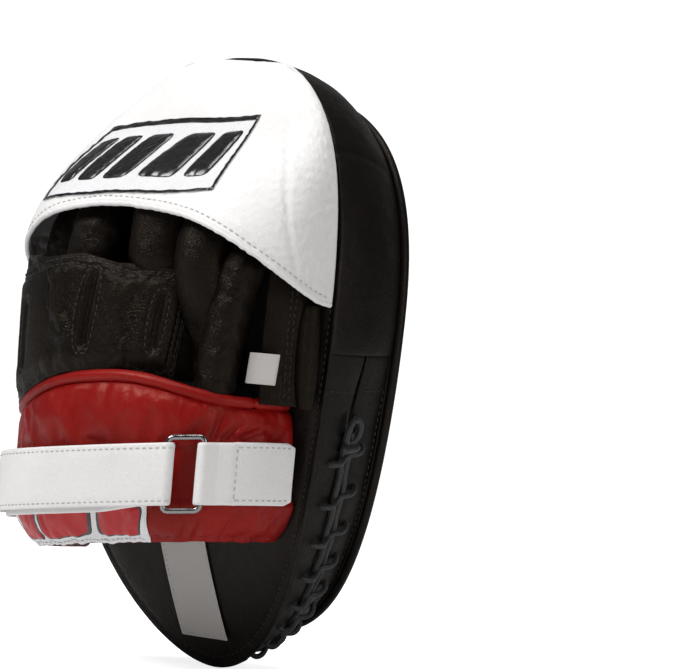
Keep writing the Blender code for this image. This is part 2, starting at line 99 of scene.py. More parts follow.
# creases in the cuff fan out from the ring: first and last degree, and shares of the cuff's height
CUFF_CREASES = ((50, 46, 0.03, 0.26), (44, 41, 0.02, 0.20), (30, 24, 0.08, 0.25),
                (38, 34, 0.76, 0.92), (33, 24, 0.75, 0.88), (28, 13, 0.75, 0.84))

BADGE_SLOT = "badge_vinyl"
BADGE_ANGLES, BADGE_LOW_Z, BADGE_HEIGHT = (128, 66), -100.2 * MM, 19 * MM
BADGE_BARS = (0.04, 0.25), (0.33, 0.30), (0.67, 0.28)  # where each bar starts and its width, as shares
MARK_MIDDLES, MARKS_Z = (-29 * MM, 0.0, 29 * MM), -86 * MM
MARK_HALF_WIDTH, MARK_HALF_HEIGHT, MARK_LEAN = 13 * MM, 10 * MM, 2 * MM

GLOVE_CENTRE_X, GLOVE_HALF_WIDTH, GLOVE_DEPTH, GLOVE_POWER = -21 * MM, 58 * MM, 53 * MM, 0.82
GLOVE_HIGH_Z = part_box("hand_back")[1].z - 4 * MM
VALLEY_ANGLE, VALLEY_WIDTH, VALLEY_DEPTH = radians(66), 0.21, 3.0 * MM
KNUCKLE_ANGLES, KNUCKLE_LEAN = (radians(32), radians(138)), radians(8)
KNUCKLE_LENGTH, KNUCKLE_WIDTH = 48 * MM, 52 * MM
KNUCKLE_TOP = (36, 60, 66, 76, 90, 110, 138), (2, 2, 1, 3, 6, 2, -5)  # degrees, and millimetres of rise
KNUCKLE_SLOTS = (121, 0.46, 0.27), (83, 0.54, 0.38), (47, 0.5, 0.30)  # degrees, middle and half length
SLOT_HALF_ANGLE = 4.2 * MM / (56 * MM)

HOOD_DEPTH, HOOD_POWER, HOOD_THICKNESS = 58 * MM, 0.78, 2.2 * MM
HOOD_CORNER_Z, HOOD_ARCH_RISE = 16 * MM, 38 * MM
HOOD_TOP_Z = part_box("hood")[1].z + 4 * MM
PATCH_ANGLES, PATCH_LOW_Z, PATCH_HEIGHT, PATCH_DROP = (134, 64), 62 * MM, 37 * MM, 10 * MM
PATCH_BARS, PATCH_BARS_START, PATCH_BARS_WIDTH, PATCH_BAR_GAP = 5, 0.07, 0.84, 0.035

# the viewpoint: degrees, metres, and picture widths per metre at the mitt
VIEW_AZIMUTH, VIEW_ELEVATION, VIEW_ROLL = radians(41), 1.0, 5.0
VIEW_DISTANCE, VIEW_SCALE = 2.0, 3.10
VIEW_RIGHT, VIEW_UP = 0.066, 0.018

STITCH_PITCH, STITCH_LENGTH, STITCH_RADIUS = 3.3 * MM, 2.4 * MM, 0.36 * MM
MITT_MIDDLE = 0.0, -20 * MM, 0.0
CLOTH_FRAMES, CLOTH_STIFFNESS, CLOTH_MOST_INWARD = 20, 12.0, 0.6 * MM


# ---- shape formulas, on numpy arrays


def full_turn(count):
    return np.arange(count) * 2 * pi / count


def signed_power(value, power):
    return np.sign(value) * np.abs(value) ** power


def outline(angle, inset=0.0):
    """x and z of the pad's outline; angle 0 is the thumb side, 90 degrees the fingertips."""
    c, s = np.cos(angle), np.sin(angle)
    up = s >= 0
    reach = np.where(up, PAD_UP, PAD_DOWN)
    power = np.where(up, PAD_POWER_UP, PAD_POWER_DOWN)
    x = (PAD_HALF_WIDTH - inset) * signed_power(c, 2 / power)
    z = PAD_MIDDLE_Z + (reach - inset) * signed_power(s, 2 / power)
    return x, z


def pad_point(x, z, depth):
    slope = np.arcsin(z / PAD_RADIUS)
    y = PAD_RADIUS * (1 - np.cos(slope)) - FACE_SET_BACK
    return np.stack([x + 0 * z, y - depth * np.cos(slope), z + depth * np.sin(slope)], -1)


def back_y(z, lift=0.0):
    radius = PAD_RADIUS + PAD_THICKNESS + lift
    return PAD_RADIUS - FACE_SET_BACK - np.sqrt(radius * radius - z * z)


def rear_half_width(z):
    flat_z = z / (1 + PAD_THICKNESS / PAD_RADIUS) - PAD_MIDDLE_Z
    up = flat_z >= 0
    reach = np.where(up, PAD_UP, PAD_DOWN)
    power = np.where(up, PAD_POWER_UP, PAD_POWER_DOWN)
    return PAD_HALF_WIDTH * np.maximum(0, 1 - np.abs(flat_z / reach) ** power) ** (1 / power)


def arch(centre_x, half_width, top_y, angle, z, lift=0.0, power=1.0):
    foot_y = back_y(z) - 0.4 * MM
    x = centre_x + (half_width + lift) * signed_power(np.cos(angle), power)
    y = foot_y - (foot_y - top_y + lift) * signed_power(np.sin(angle), power)
    return np.stack([x, y, z + 0 * x], -1)


def cuff_point(angle, z, lift=0.0):
    angle, z = np.broadcast_arrays(np.asarray(angle, float), np.asarray(z, float))
    tuck = CUFF_TUCK * np.maximum(0, (CUFF_TUCK_Z - z) / (CUFF_TUCK_Z - CUFF_BOTTOM_Z)) ** 1.5
    half_width = CUFF_HALF_WIDTH - tuck
    slanted_z = z + CUFF_SLANT * (half_width + lift) * signed_power(np.cos(angle), CUFF_POWER)
    return arch(CUFF_CENTRE_X, half_width, CUFF_TOP_Y + tuck, angle, slanted_z, lift, CUFF_POWER)


def cuff_top(angle):
    return CUFF_TOP_END_Z + CUFF_TOP_RISE * np.sin(angle) ** 4


def glove_point(angle, z, lift=0.0):
    angle, z = np.broadcast_arrays(np.asarray(angle, float), np.asarray(z, float))
    # a deep fold between the ring and middle fingers
    fold = bump(angle - VALLEY_ANGLE - 0.12 * (z - GLOVE_HIGH_Z) / (50 * MM), VALLEY_WIDTH)
    lift = lift - VALLEY_DEPTH * fold * smooth((z - GLOVE_HIGH_Z + 55 * MM) / (60 * MM))
    return arch(GLOVE_CENTRE_X, GLOVE_HALF_WIDTH, back_y(z) - GLOVE_DEPTH, angle, z, lift, GLOVE_POWER)


def glove_low(angle):
    x = GLOVE_CENTRE_X + GLOVE_HALF_WIDTH * signed_power(np.cos(angle), GLOVE_POWER) - CUFF_CENTRE_X
    side = np.maximum(0, 1 - np.abs(x / CUFF_HALF_WIDTH) ** (2 / CUFF_POWER))
    return CUFF_TOP_END_Z + CUFF_TOP_RISE * side**2 + CUFF_SLANT * x + 2 * WELT_RADIUS


def smooth(value):
    value = np.clip(value, 0, 1)
    return value * value * (3 - 2 * value)


def hood_depth(z):
    return HOOD_DEPTH * (1 - smooth((z - 35 * MM) / (90 * MM)))


def hood_point(angle, z, lift=0.0):
    angle, z = np.broadcast_arrays(np.asarray(angle, float), np.asarray(z, float))
    depth = hood_depth(z) + HOOD_THICKNESS + 0.4 * MM
    half_width = rear_half_width(z) - 1.5 * MM
    return arch(0, half_width, back_y(z) - depth, angle, z, lift, HOOD_POWER)


def hood_edge(angle):
    return HOOD_CORNER_Z + HOOD_ARCH_RISE * np.maximum(np.sin(angle), 0) ** 1.3


def bump(distance, width):
    return np.exp(-((distance / width) ** 2))


def roughen(points, size, seed=0.0, stretch=(1, 1, 1)):
    """Smooth noise between about -1 and 1 at each point, with features of the given size."""
    flat = np.asarray(points, float).reshape(-1, 3) * (np.array(stretch) / size) + seed
    values = [noise.noise(Vector(p)) for p in flat]
    return np.array(values).reshape(np.asarray(points).shape[:-1])


# ---- materials


def node_material(name):
    """A new material, its node tree, its shader and the socket with the place on the object."""
    made = bpy.data.materials.new(name)
    made.use_nodes = True
    where = add_node(made.node_tree, "TexCoord").outputs["Object"]
    return made, made.node_tree, made.node_tree.nodes["Principled BSDF"], where


def put(tree, node, inputs):
    """Links or sets a node's inputs."""
    for key, value in inputs.items():
        if isinstance(value, bpy.types.NodeSocket):
            tree.links.new(value, node.inputs[key])
        else:
            node.inputs[key].default_value = value
    return node


def add_node(tree, kind, inputs=None, **settings):
    node = tree.nodes.new("ShaderNode" + kind)
    for key, value in settings.items():
        setattr(node, key, value)
    return put(tree, node, inputs or {})


def mix_colour(tree, factor, first, second, blend="MIX"):
    first, second = ((*c, 1) if isinstance(c, (tuple, list)) else c for c in (first, second))
    inputs = {"Factor": factor, 6: first, 7: second}
    return add_node(tree, "Mix", inputs, data_type="RGBA", blend_type=blend).outputs[2]


def ramp(tree, factor, low, high, first=0.0, last=1.0):
    inputs = {"Value": factor, "From Min": low, "From Max": high, "To Min": first, "To Max": last}
    return add_node(tree, "MapRange", inputs).outputs[0]


def noise_of(tree, where, scale, detail, **more):
    return add_node(tree, "TexNoise", {"Vector": where, "Scale": scale, "Detail": detail, **more}).outputs[0]


def bumps(tree, *layers):
    """Bump maps over one another, each (height, strength, depth in millimetres)."""
    normal = {}
    for height, strength, depth in layers:
        inputs = {"Height": height, "Strength": strength, "Distance": depth * MM, **normal}
        normal = {"Normal": add_node(tree, "Bump", inputs).outputs[0]}
    return normal


def leather(name, colour, shade, roughness, grain=1.1, grain_depth=0.5, crease=0.35, coat=0.0,
            specular=0.4, valley_shade=0.72, tone=(1, 1, 1)):
    """Grained leather: pebbles with fine creases between them, uneven colour and a slight polish."""
    made, tree, shader, where = node_material(name)
    warp = add_node(tree, "TexNoise", {"Vector": where, "Scale": 160.0, "Detail": 2.0}).outputs["Color"]
    bent = add_node(tree, "MixRGB", {"Fac": 0.0025, "Color1": where, "Color2": warp}).outputs[0]
    pebbles = add_node(tree, "TexVoronoi", {"Vector": bent, "Scale": 1000.0 / grain},
                       feature="DISTANCE_TO_EDGE").outputs["Distance"]
    pores = noise_of(tree, where, 2600.0, 3.0)
    creases = noise_of(tree, where, 190.0, 5.0, Roughness=0.6, Distortion=0.8)
    patches = noise_of(tree, where, 22.0, 3.0)
    tint = mix_colour(tree, ramp(tree, patches, 0.35, 0.7), colour, shade)
    tint = mix_colour(tree, 1.0, tint, ramp(tree, pebbles, 0.0, 0.12, valley_shade, 1.0), "MULTIPLY")
    raised = ramp(tree, pebbles, 0.0, 0.25)
    lumps = bumps(tree, (raised, grain_depth, 0.12), (pores, 0.25, 0.08), (creases, crease, 0.6))
    put(tree, shader, {
        "Base Color": tint, "Roughness": ramp(tree, creases, 0.3, 0.7, roughness - 0.07, roughness + 0.1),
        "Coat Weight": coat, "Coat Roughness": 0.25, "Specular IOR Level": specular,
        "Specular Tint": (*tone, 1), **lumps})
    return made


def woven(name, colour, shade, pitch=0.7, roughness=0.85):
    """Plain-woven cloth, from two crossed waves."""
    made, tree, shader, where = node_material(name)
    turned = add_node(tree, "Mapping", {"Vector": where, "Rotation": (0.3, 0.35, 0.0)}).outputs[0]
    waves = [add_node(tree, "TexWave", {"Vector": turned, "Scale": 160.0 / pitch, "Distortion": 0.4},
                      bands_direction=direction).outputs["Fac"] for direction in ("X", "Z")]
    both = add_node(tree, "Math", {0: waves[0], 1: waves[1]}, operation="MULTIPLY").outputs[0]
    fuzz = ramp(tree, noise_of(tree, where, 900.0, 4.0), 0.3, 0.7, 0.0, 0.3)
    tint = mix_colour(tree, fuzz, mix_colour(tree, both, shade, colour), shade)
    put(tree, shader, {"Base Color": tint, "Roughness": roughness, "Sheen Weight": 0.15,
                       **bumps(tree, (both, 0.6, 0.15))})
    return made


def faded(colour, share):
    return [share * c for c in colour]


def thread(name, colour):
    """Twisted sewing thread."""
    made, tree, shader, where = node_material(name)
    twist = add_node(tree, "TexWave", {"Vector": where, "Scale": 700.0, "Distortion": 2.0},
                     bands_direction="DIAGONAL").outputs["Fac"]
    tint = mix_colour(tree, twist, faded(colour, 0.6), colour)
    put(tree, shader, {"Base Color": tint, "Roughness": 0.6, **bumps(tree, (twist, 0.5, 0.1))})
    return made


def metal(name, colour, roughness):
    """Plated metal with faint scratches."""
    made, tree, shader, where = node_material(name)
    scratches, smears = noise_of(tree, where, 420.0, 6.0), noise_of(tree, where, 90.0, 2.0)
    put(tree, shader, {
        "Base Color": mix_colour(tree, smears, faded(colour, 0.75), colour), "Metallic": 1.0,
        "Roughness": ramp(tree, scratches, 0.3, 0.7, roughness * 0.6, roughness * 1.6),
        **bumps(tree, (scratches, 0.08, 0.1))})
    return made


def foam(name, colour):
    """Closed-cell foam: fine bubbles."""
    made, tree, shader, where = node_material(name)
    cells = add_node(tree, "TexVoronoi", {"Vector": where, "Scale": 1200.0}).outputs["Distance"]
    tint = mix_colour(tree, cells, colour, faded(colour, 0.5))
    put(tree, shader, {"Base Color": tint, "Roughness": 0.9, **bumps(tree, (cells, 0.5, 0.2))})
    return made


BLACK = leather("black_leather", (0.0050, 0.0040, 0.0035), (0.0075, 0.0058, 0.0050),
                0.42, 1.4, 0.45, 0.4, specular=0.17, tone=(1, 0.88, 0.78))
GLOVE_BLACK = leather("glove_leather", (0.0030, 0.0021, 0.0015), (0.0062, 0.0041, 0.0028),
                      0.36, 1.1, 0.8, 0.35, specular=0.14, tone=(1, 0.82, 0.66))
RED = leather("red_leather", (0.265, 0.0040, 0.0040), (0.165, 0.0028, 0.0028),
              0.40, 1.2, 0.3, 0.45, specular=0.34, valley_shade=0.85, tone=(1, 0.52, 0.40))
WHITE = leather("white_leather", (0.80, 0.79, 0.785), (0.74, 0.725, 0.715),
                0.5, 1.4, 0.25, 0.35, valley_shade=0.93)
PATCH_WHITE = leather("patch_vinyl", (0.82, 0.82, 0.83), (0.78, 0.78, 0.79),
                      0.35, 0.7, 0.15, 0.1)
PATCH_BLACK = leather("patch_black", (0.008, 0.008, 0.009), (0.012, 0.012, 0.013),
                      0.24, 0.6, 0.12, 0.1, coat=0.5)
BADGE_RED = leather("badge_red", (0.50, 0.010, 0.016), (0.42, 0.008, 0.012),
                    0.34, 0.7, 0.15, 0.1)
LINING = woven("lining_fabric", (0.018, 0.018, 0.020), (0.006, 0.006, 0.007))
LABEL = woven("label_fabric", (0.60, 0.565, 0.54), (0.47, 0.44, 0.42), 0.35)
LOOP_TAPE = woven("loop_tape", (0.02, 0.02, 0.02), (0.006, 0.006, 0.006), 1.2, 0.95)
HOOK_TAPE = woven("hook_tape", (0.03, 0.03, 0.03), (0.008, 0.008, 0.008), 1.6, 0.6)
CORD = woven("lace_cord", (0.014, 0.012, 0.011), (0.004, 0.004, 0.004), 0.8, 0.55)
BLACK_THREAD = thread("black_thread", (0.008, 0.007, 0.006))
WHITE_THREAD = thread("white_thread", (0.60, 0.59, 0.58))
RED_THREAD = thread("red_thread", (0.20, 0.008, 0.010))
RING_METAL = metal("ring_metal", (0.33, 0.32, 0.32), 0.2)
FOAM = foam("foam", (0.16, 0.16, 0.17))
GEL = foam("gel", (0.40, 0.03, 0.04))


# ---- sheets


class Sheet:
    """A grid of points over two parameters, with the helpers that shape it.

    us and vs are the parameters' values, or how many even steps they take from 0 to 1. Its normals point away
    from the mitt's middle.
    """

    def __init__(self, formula, us, vs, closed=False):
        self.us, self.vs = (np.linspace(0, 1, p) if isinstance(p, int) else np.asarray(p) for p in (us, vs))
        self.closed = closed
        self.u, self.v = np.meshgrid(self.us, self.vs, indexing="ij")
        self.points = np.array(formula(self.u, self.v), float)
        self.sign = 1.0
        away = self.points - np.array(MITT_MIDDLE)
        if np.sum(self.normals() * away) < 0:
            self.sign = -1.0

    def normals(self):
        p = self.points
        if self.closed:
            du = np.roll(p, -1, 0) - np.roll(p, 1, 0)
        else:
            du = np.gradient(p, axis=0)
        n = np.cross(du, np.gradient(p, axis=1))
        return self.sign * unit(n)

    def push(self, amount):
        """Moves each point along its normal."""
        self.points = self.points + self.normals() * np.asarray(amount)[..., None]
        return self

    def place(self, u, v, lift=0.0):
        """Point and normal at parameters u and v."""
        u, v = np.broadcast_arrays(np.asarray(u, float), np.asarray(v, float))
        i = np.interp(u, self.us, np.arange(len(self.us)))
        j = np.interp(v, self.vs, np.arange(len(self.vs)))
        i0 = np.minimum(i.astype(int), len(self.us) - 2)
        j0 = np.minimum(j.astype(int), len(self.vs) - 2)
        fi, fj = (i - i0)[..., None], (j - j0)[..., None]
        found = []
        for grid in (self.points, self.normals()):
            low = grid[i0, j0] * (1 - fj) + grid[i0, j0 + 1] * fj
            high = grid[i0 + 1, j0] * (1 - fj) + grid[i0 + 1, j0 + 1] * fj
            found.append(low * (1 - fi) + high * fi)
        point, normal = found
        return point + normal * lift, normal

    def groove(self, line, depth, width):
        """Presses a groove along a line of points."""
        line = np.asarray(line)
        flat = self.points.reshape(-1, 3)
        nearest = np.full(len(flat), 1e9)
        for start in range(0, len(line), 64):
            gap = flat[:, None, :] - line[None, start:start + 64, :]
            nearest = np.minimum(nearest, np.sqrt((gap**2).sum(-1)).min(1))
        return self.push(-depth * bump(nearest.reshape(self.u.shape), width))

    def faces(self):
        nu, nv = self.u.shape
        rows = nu if self.closed else nu - 1
        index = np.arange(nu * nv).reshape(nu, nv)
        index = np.vstack([index, index[:1]]) if self.closed else index
        here, after = index[:rows], index[1:rows + 1]
        quads = np.stack([here[:, :-1], after[:, :-1], after[:, 1:], here[:, 1:]], -1).reshape(-1, 4)
        return quads if self.sign > 0 else quads[:, ::-1]

    def simulate(self, pin, pressure, slack, cap):
        """Blows the sheet out as cloth larger by slack, held where pin is 1; no point moves beyond cap."""
        rest = self.points.copy()
        obj = mesh_object("cloth_tmp", rest.reshape(-1, 3), self.faces())
        bpy.context.scene.collection.objects.link(obj)
        group = obj.vertex_groups.new(name="pin")
        for index, weight in enumerate(np.asarray(pin, float).reshape(-1)):
            if weight > 0:
                group.add([index], float(weight), "REPLACE")
        cloth = obj.modifiers.new("Cloth", "CLOTH")
        settings = cloth.settings
        settings.quality, settings.mass = 6, 0.15
        settings.tension_stiffness = settings.compression_stiffness = CLOTH_STIFFNESS
        settings.shear_stiffness, settings.bending_stiffness = CLOTH_STIFFNESS / 3, 0.3
        settings.use_pressure = True
        settings.uniform_pressure_force = pressure
        settings.shrink_min = settings.shrink_max = -slack
        settings.vertex_group_mass = "pin"
        settings.effector_weights.gravity = 0
        cloth.collision_settings.use_collision = False
        cloth.point_cache.frame_start, cloth.point_cache.frame_end = 1, CLOTH_FRAMES
        scene = bpy.context.scene
        for number in range(1, CLOTH_FRAMES + 1):
            scene.frame_set(number)
        graph = bpy.context.evaluated_depsgraph_get()
        shaped = obj.evaluated_get(graph).data
        found = np.empty(len(shaped.vertices) * 3)
        shaped.vertices.foreach_get("co", found)
        move = found.reshape(rest.shape) - rest
        normals = self.normals()
        inward = np.minimum(0, np.sum(move * normals, -1, keepdims=True) + CLOTH_MOST_INWARD)
        move = move - normals * inward
        length = np.linalg.norm(move, axis=-1, keepdims=True)
        self.points = rest + move * np.minimum(1, cap / np.maximum(length, 1e-9))
        scene.frame_set(1)
        bpy.data.objects.remove(obj, do_unlink=True)
        return self

    def make(self, name, thickness, material, nodes="", slot=None, body="mitt", soft=True):
        """The sheet as a piece with a thickness; soft rounds it off."""
        obj = mesh_object(name, self.points.reshape(-1, 3), self.faces())
        shell = obj.modifiers.new("Solidify", "SOLIDIFY")
        shell.thickness, shell.offset = thickness, -1
        if soft:
            smoother = obj.modifiers.new("Subdivision", "SUBSURF")
            smoother.levels = smoother.render_levels = 1
        return finish_piece(obj, material, nodes, body)


def mesh_object(name, points, faces):
    data = bpy.data.meshes.new(name)
    data.from_pydata([tuple(p) for p in points], [], [tuple(int(i) for i in f) for f in faces])
    data.shade_smooth()
    return bpy.data.objects.new(name, data)


def finish_piece(obj, material, nodes="", body="mitt"):
    """Gives a new piece its material and body; it stands for the CAD nodes named."""
    bpy.context.scene.collection.objects.link(obj)
    obj.data.materials.append(material)
    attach(obj, body)
    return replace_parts(obj, *nodes.split()) if nodes else obj


def tube(name, line, radius, material, nodes="", body="mitt", closed=False, sides=10):
    """A cord along a line; its radius may vary along it."""
    line = np.asarray(line, float)
    count = len(line)
    radii = np.broadcast_to(np.asarray(radius, float), (count,))
    along = unit(np.roll(line, -1, 0) - np.roll(line, 1, 0) if closed else np.gradient(line, axis=0))
    up = carried_normals(along)
    side = unit(np.cross(along, up))
    up = np.cross(side, along)
    turn = full_turn(sides)
    ring = side[:, None] * np.cos(turn)[None, :, None] + up[:, None] * np.sin(turn)[None, :, None]
    points = (line[:, None] + ring * radii[:, None, None]).reshape(-1, 3)
    index = np.arange(count * sides).reshape(count, sides)
    if closed:
        index = np.vstack([index, index[:1]])
    across = np.roll(index, -1, 1)
    faces = list(np.stack([index[:-1], index[1:], across[1:], across[:-1]], -1).reshape(-1, 4)[:, ::-1])
    if not closed:
        for end, direction in ((0, -1), (count - 1, 1)):
            tip = len(points)
            points = np.vstack([points, line[end] + along[end] * direction * radii[end] * 0.55])
            for a, b in zip(index[end][::direction], across[end][::direction]):
                faces.append((a, b, tip) if direction > 0 else (b, a, tip))
    return finish_piece(mesh_object(name, points, faces), material, nodes, body=body)


def unit(vectors):
    return vectors / np.maximum(np.linalg.norm(vectors, axis=-1, keepdims=True), 1e-12)


def carried_normals(along):
    """Normals carried along a line without twisting."""
    first = np.cross(along[0], (0.3, 0.2, 0.93))
    normals = [first / np.linalg.norm(first)]
    for direction in along[1:]:
        n = normals[-1] - direction * np.dot(normals[-1], direction)
        normals.append(n / max(np.linalg.norm(n), 1e-9))
    return np.array(normals)


def resample(line, pitch):
    """Points at even distances along a line, and the line's directions there."""
    line = np.asarray(line, float)
    steps = np.linalg.norm(np.diff(line, axis=0), axis=1)
    length = np.concatenate([[0], np.cumsum(steps)])
    count = max(2, int(round(length[-1] / pitch)))
    marks = (np.arange(count) + 0.5) * length[-1] / count
    return np.stack([np.interp(marks, length, line[:, k]) for k in range(3)], -1), marks / length[-1]


class Thread:
    """Collects sewn stitches and makes them one piece."""

    def __init__(self, material, radius=STITCH_RADIUS):
        self.material, self.radius = material, radius
        self.points, self.faces = [], []

    def sew(self, line, normals, pitch=STITCH_PITCH, length=STITCH_LENGTH, lift=0.12 * MM):
        """Dashes along a line that lies on a surface with these normals."""
        centres, marks = resample(line, pitch)
        old = np.linspace(0, 1, len(normals))
        up = unit(np.stack([np.interp(marks, old, np.asarray(normals)[:, k]) for k in range(3)], -1))
        way = np.gradient(centres, axis=0)
        way = unit(way - up * np.sum(way * up, -1, keepdims=True))
        side = np.cross(way, up)
        rings, sides = 7, 6
        f = np.linspace(-1, 1, rings)[:, None]
        bow = lift - 1.1 * self.radius * f**4
        size = self.radius * np.maximum(0.25, np.sqrt(1 - f**6))
        middle = centres[:, None] + way[:, None] * f * length / 2 + up[:, None] * bow
        turn = full_turn(sides)[:, None]
        rim = side[:, None] * np.cos(turn) + up[:, None] * np.sin(turn)
        points = middle[:, :, None] + rim[:, None] * size[..., None]
        a = np.arange((rings - 1) * sides)
        b = a - a % sides + (a + 1) % sides
        quads = np.stack([a, a + sides, b + sides, b], -1)
        cap = np.arange(sides)
        for stitch in points:
            base = len(self.points)
            self.points.extend(stitch.reshape(-1, 3))
            self.faces.extend(base + quads)
            self.faces.extend((base + cap, base + (rings - 1) * sides + cap[::-1]))
        return self

    def make(self, name, slot=None, body="mitt"):
        return finish_piece(mesh_object(name, self.points, self.faces), self.material, "", body)


def sew_on(stitches, sheet, u, v, groove=0.35 * MM, width=1.0 * MM, **options):
    """Presses a groove into a sheet along parameters u, v and sews stitches in it."""
    line, _ = sheet.place(u, v)
    sheet.groove(line, groove, width)
    line, normals = sheet.place(u, v)
    stitches.sew(line, normals, **options)


# ---- striking pad


def lace_angles():
    """Outline angles of the lace's cross ties, round the wrist half of the pad."""
    return np.radians(np.linspace(-24, -156, 18))


def wall_point(angle, depth, lift=0.0):
    """A point of the pad's side wall: full at the fingertips and flatter, with a laced hollow, below."""
    laced = smooth((-np.sin(angle) - 0.05) / 0.3)
    across = np.clip((depth - WALL_FRONT) / (WALL_BACK - WALL_FRONT), 0, 1)
    full, flat = (np.sin(pi * across) ** power for power in (0.8, 0.5))
    swell = 4.6 * MM * (1 - laced) * full + 1.6 * MM * laced * flat
    ties = sum(bump(np.angle(np.exp(1j * (angle - a))), 0.03) for a in lace_angles())
    hollow = laced * bump(depth - PAD_SEAM, 4.2 * MM) * (1.8 * MM + 0.9 * MM * np.clip(ties, 0, 1))
    x, z = outline(angle, 2.2 * MM + 1.2 * MM * laced - swell + hollow - lift)
    return pad_point(x, z, depth)


def wall_sheet(first, last, front, back, rows, seed):
    """A leather strip of the side wall between two outline angles, in degrees, and two depths."""
    angles = np.radians(np.linspace(first, last, int(abs(last - first) / 1.2) + 2))
    sheet = Sheet(wall_point, angles, np.linspace(front, back, rows))
    near_lace = bump(sheet.v - PAD_SEAM, 10 * MM) * smooth((-np.sin(sheet.u) - 0.1) / 0.3)
    long_folds = roughen(sheet.points, 30 * MM, seed + 3)
    sheet.push(0.5 * MM * long_folds + 0.22 * MM * roughen(sheet.points, 8 * MM, seed)
               + near_lace * 0.7 * MM * roughen(sheet.points, 5.5 * MM, seed + 7))
    return sheet


def walls():
    """One rounded strip round the fingertips, two laced strips round the wrist half and their seams."""
    upper = wall_sheet(SIDE_SEAM, 180 - SIDE_SEAM, WALL_FRONT, WALL_BACK, 30, 1.0)
    line, _ = upper.place(radians(38), np.linspace(WALL_FRONT + 9 * MM, WALL_BACK, 60))
    upper.groove(line, 0.8 * MM, 1.4 * MM)
    upper.make("upper_wall", WALL_LEATHER, BLACK, "front_gusset rear_gusset")
    stitches = Thread(BLACK_THREAD)
    for name, front, back, seed in (("front", WALL_FRONT, PAD_SEAM - 0.6 * MM, 12.0),
                                    ("rear", PAD_SEAM + 0.6 * MM, WALL_BACK, 23.0)):
        lower = wall_sheet(-180.4 - SIDE_SEAM, SIDE_SEAM + 0.4, front, back, 15, seed)
        lower.push(-0.4 * MM)
        inset = 3.5 * MM
        deep = np.linspace(front + inset, back - inset, 60)
        ends = SIDE_SEAM - 6, -174 - SIDE_SEAM
        for degrees in ends:
            sew_on(stitches, lower, radians(degrees), deep, 0.5 * MM)
        edge = front + 2.2 * MM if name == "front" else back - 2.2 * MM
        sew_on(stitches, lower, np.radians(np.linspace(*ends, 500)), edge, 0.5 * MM)
        lower.make(f"{name}_laced_wall", WALL_LEATHER, BLACK, f"{name}_gusset")
    stitches.make("wall_stitches")


def pad_sheet(depth, edge_depth, puff, seed, scales, inset, wrinkle):
    """A leather panel across the whole pad; it is puffed inside its edge."""

    def formula(angle, scale):
        x, z = outline(angle, inset)
        edge = (1 - scale) * 60 * MM
        round_over = edge_depth * bump(edge, 5 * MM)
        swell = puff * (1 - scale**6) * np.sign(depth - 25 * MM + 1e-9)
        return pad_point(x * scale, z * scale, depth + swell + round_over * -np.sign(depth - 25 * MM))

    sheet = Sheet(formula, full_turn(220), scales, closed=True)
    sheet.push(wrinkle * roughen(sheet.points, 16 * MM, seed, (0.35, 1, 1))
               + 0.5 * wrinkle * roughen(sheet.points, 5 * MM, seed + 3, (0.3, 1, 1)))
    return sheet


def stitch_round(sheet, scale, depth, width, name):
    """A stitched groove all round a panel."""
    angles = np.clip(np.linspace(0, 2 * pi, 400), 0, sheet.us[-1])

    def placed():
        line, normals = sheet.place(angles, scale)
        line[-1], normals[-1] = line[0], normals[0]
        return line, normals

    sheet.groove(placed()[0], depth, width)
    Thread(BLACK_THREAD).sew(*placed()).make(name)


def face():
    scales = np.concatenate([np.linspace(0.06, 0.88, 34), np.linspace(0.895, 1, 12)])
    sheet = pad_sheet(0.4 * MM, 2.6 * MM, 1.0 * MM, 2.0, scales, 2.2 * MM, 0.16 * MM)
    stitch_round(sheet, 0.945, 0.9 * MM, 1.3 * MM, "face_stitches")
    sheet.make("face_leather", 1.6 * MM, BLACK, "face_panel")
    angles = full_turn(300)
    x, z = outline(angles, 1.2 * MM)
    tube("face_rim", pad_point(x, z, 2.0 * MM), 2.3 * MM, BLACK, "face_piping", closed=True, sides=12)


def target():
    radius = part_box("target_disc")[1].x

    def formula(angle, r):
        x, z = r * np.cos(angle), r * np.sin(angle)
        crown = -0.5 * MM - 2.2 * MM * smooth((r - radius + 1.6 * MM) / (1.6 * MM))
        return np.stack([x, z * z / (2 * PAD_RADIUS) * 0.7 + crown, z], -1)

    radii = np.concatenate([np.linspace(0.2 * MM, radius - 7 * MM, 22),
                            np.linspace(radius - 6.5 * MM, radius, 14)])
    sheet = Sheet(formula, full_turn(120), radii, closed=True)
    sheet.push(0.14 * MM * roughen(sheet.points, 9 * MM, 4.0, (0.5, 1, 1)))
    turn = np.linspace(0, sheet.us[-1], 200)
    stitches = Thread(WHITE_THREAD)
    sew_on(stitches, sheet, turn, radius - 3.0 * MM, 0.5 * MM, pitch=2.9 * MM, length=2.1 * MM)
    stitches.make("target_stitches")
    sheet.make("target_leather", 0.9 * MM, WHITE, "target_disc")


def rear():
    scales = np.concatenate([np.linspace(0.06, 0.9, 26), np.linspace(0.92, 1, 8)])
    sheet = pad_sheet(PAD_THICKNESS - 0.3 * MM, 1.8 * MM, 0.6 * MM, 5.0, scales, 2.0 * MM, 0.2 * MM)
    stitch_round(sheet, 0.965, 0.7 * MM, 1.2 * MM, "rear_stitches")
    sheet.make("rear_leather", 1.6 * MM, BLACK, "rear_panel")


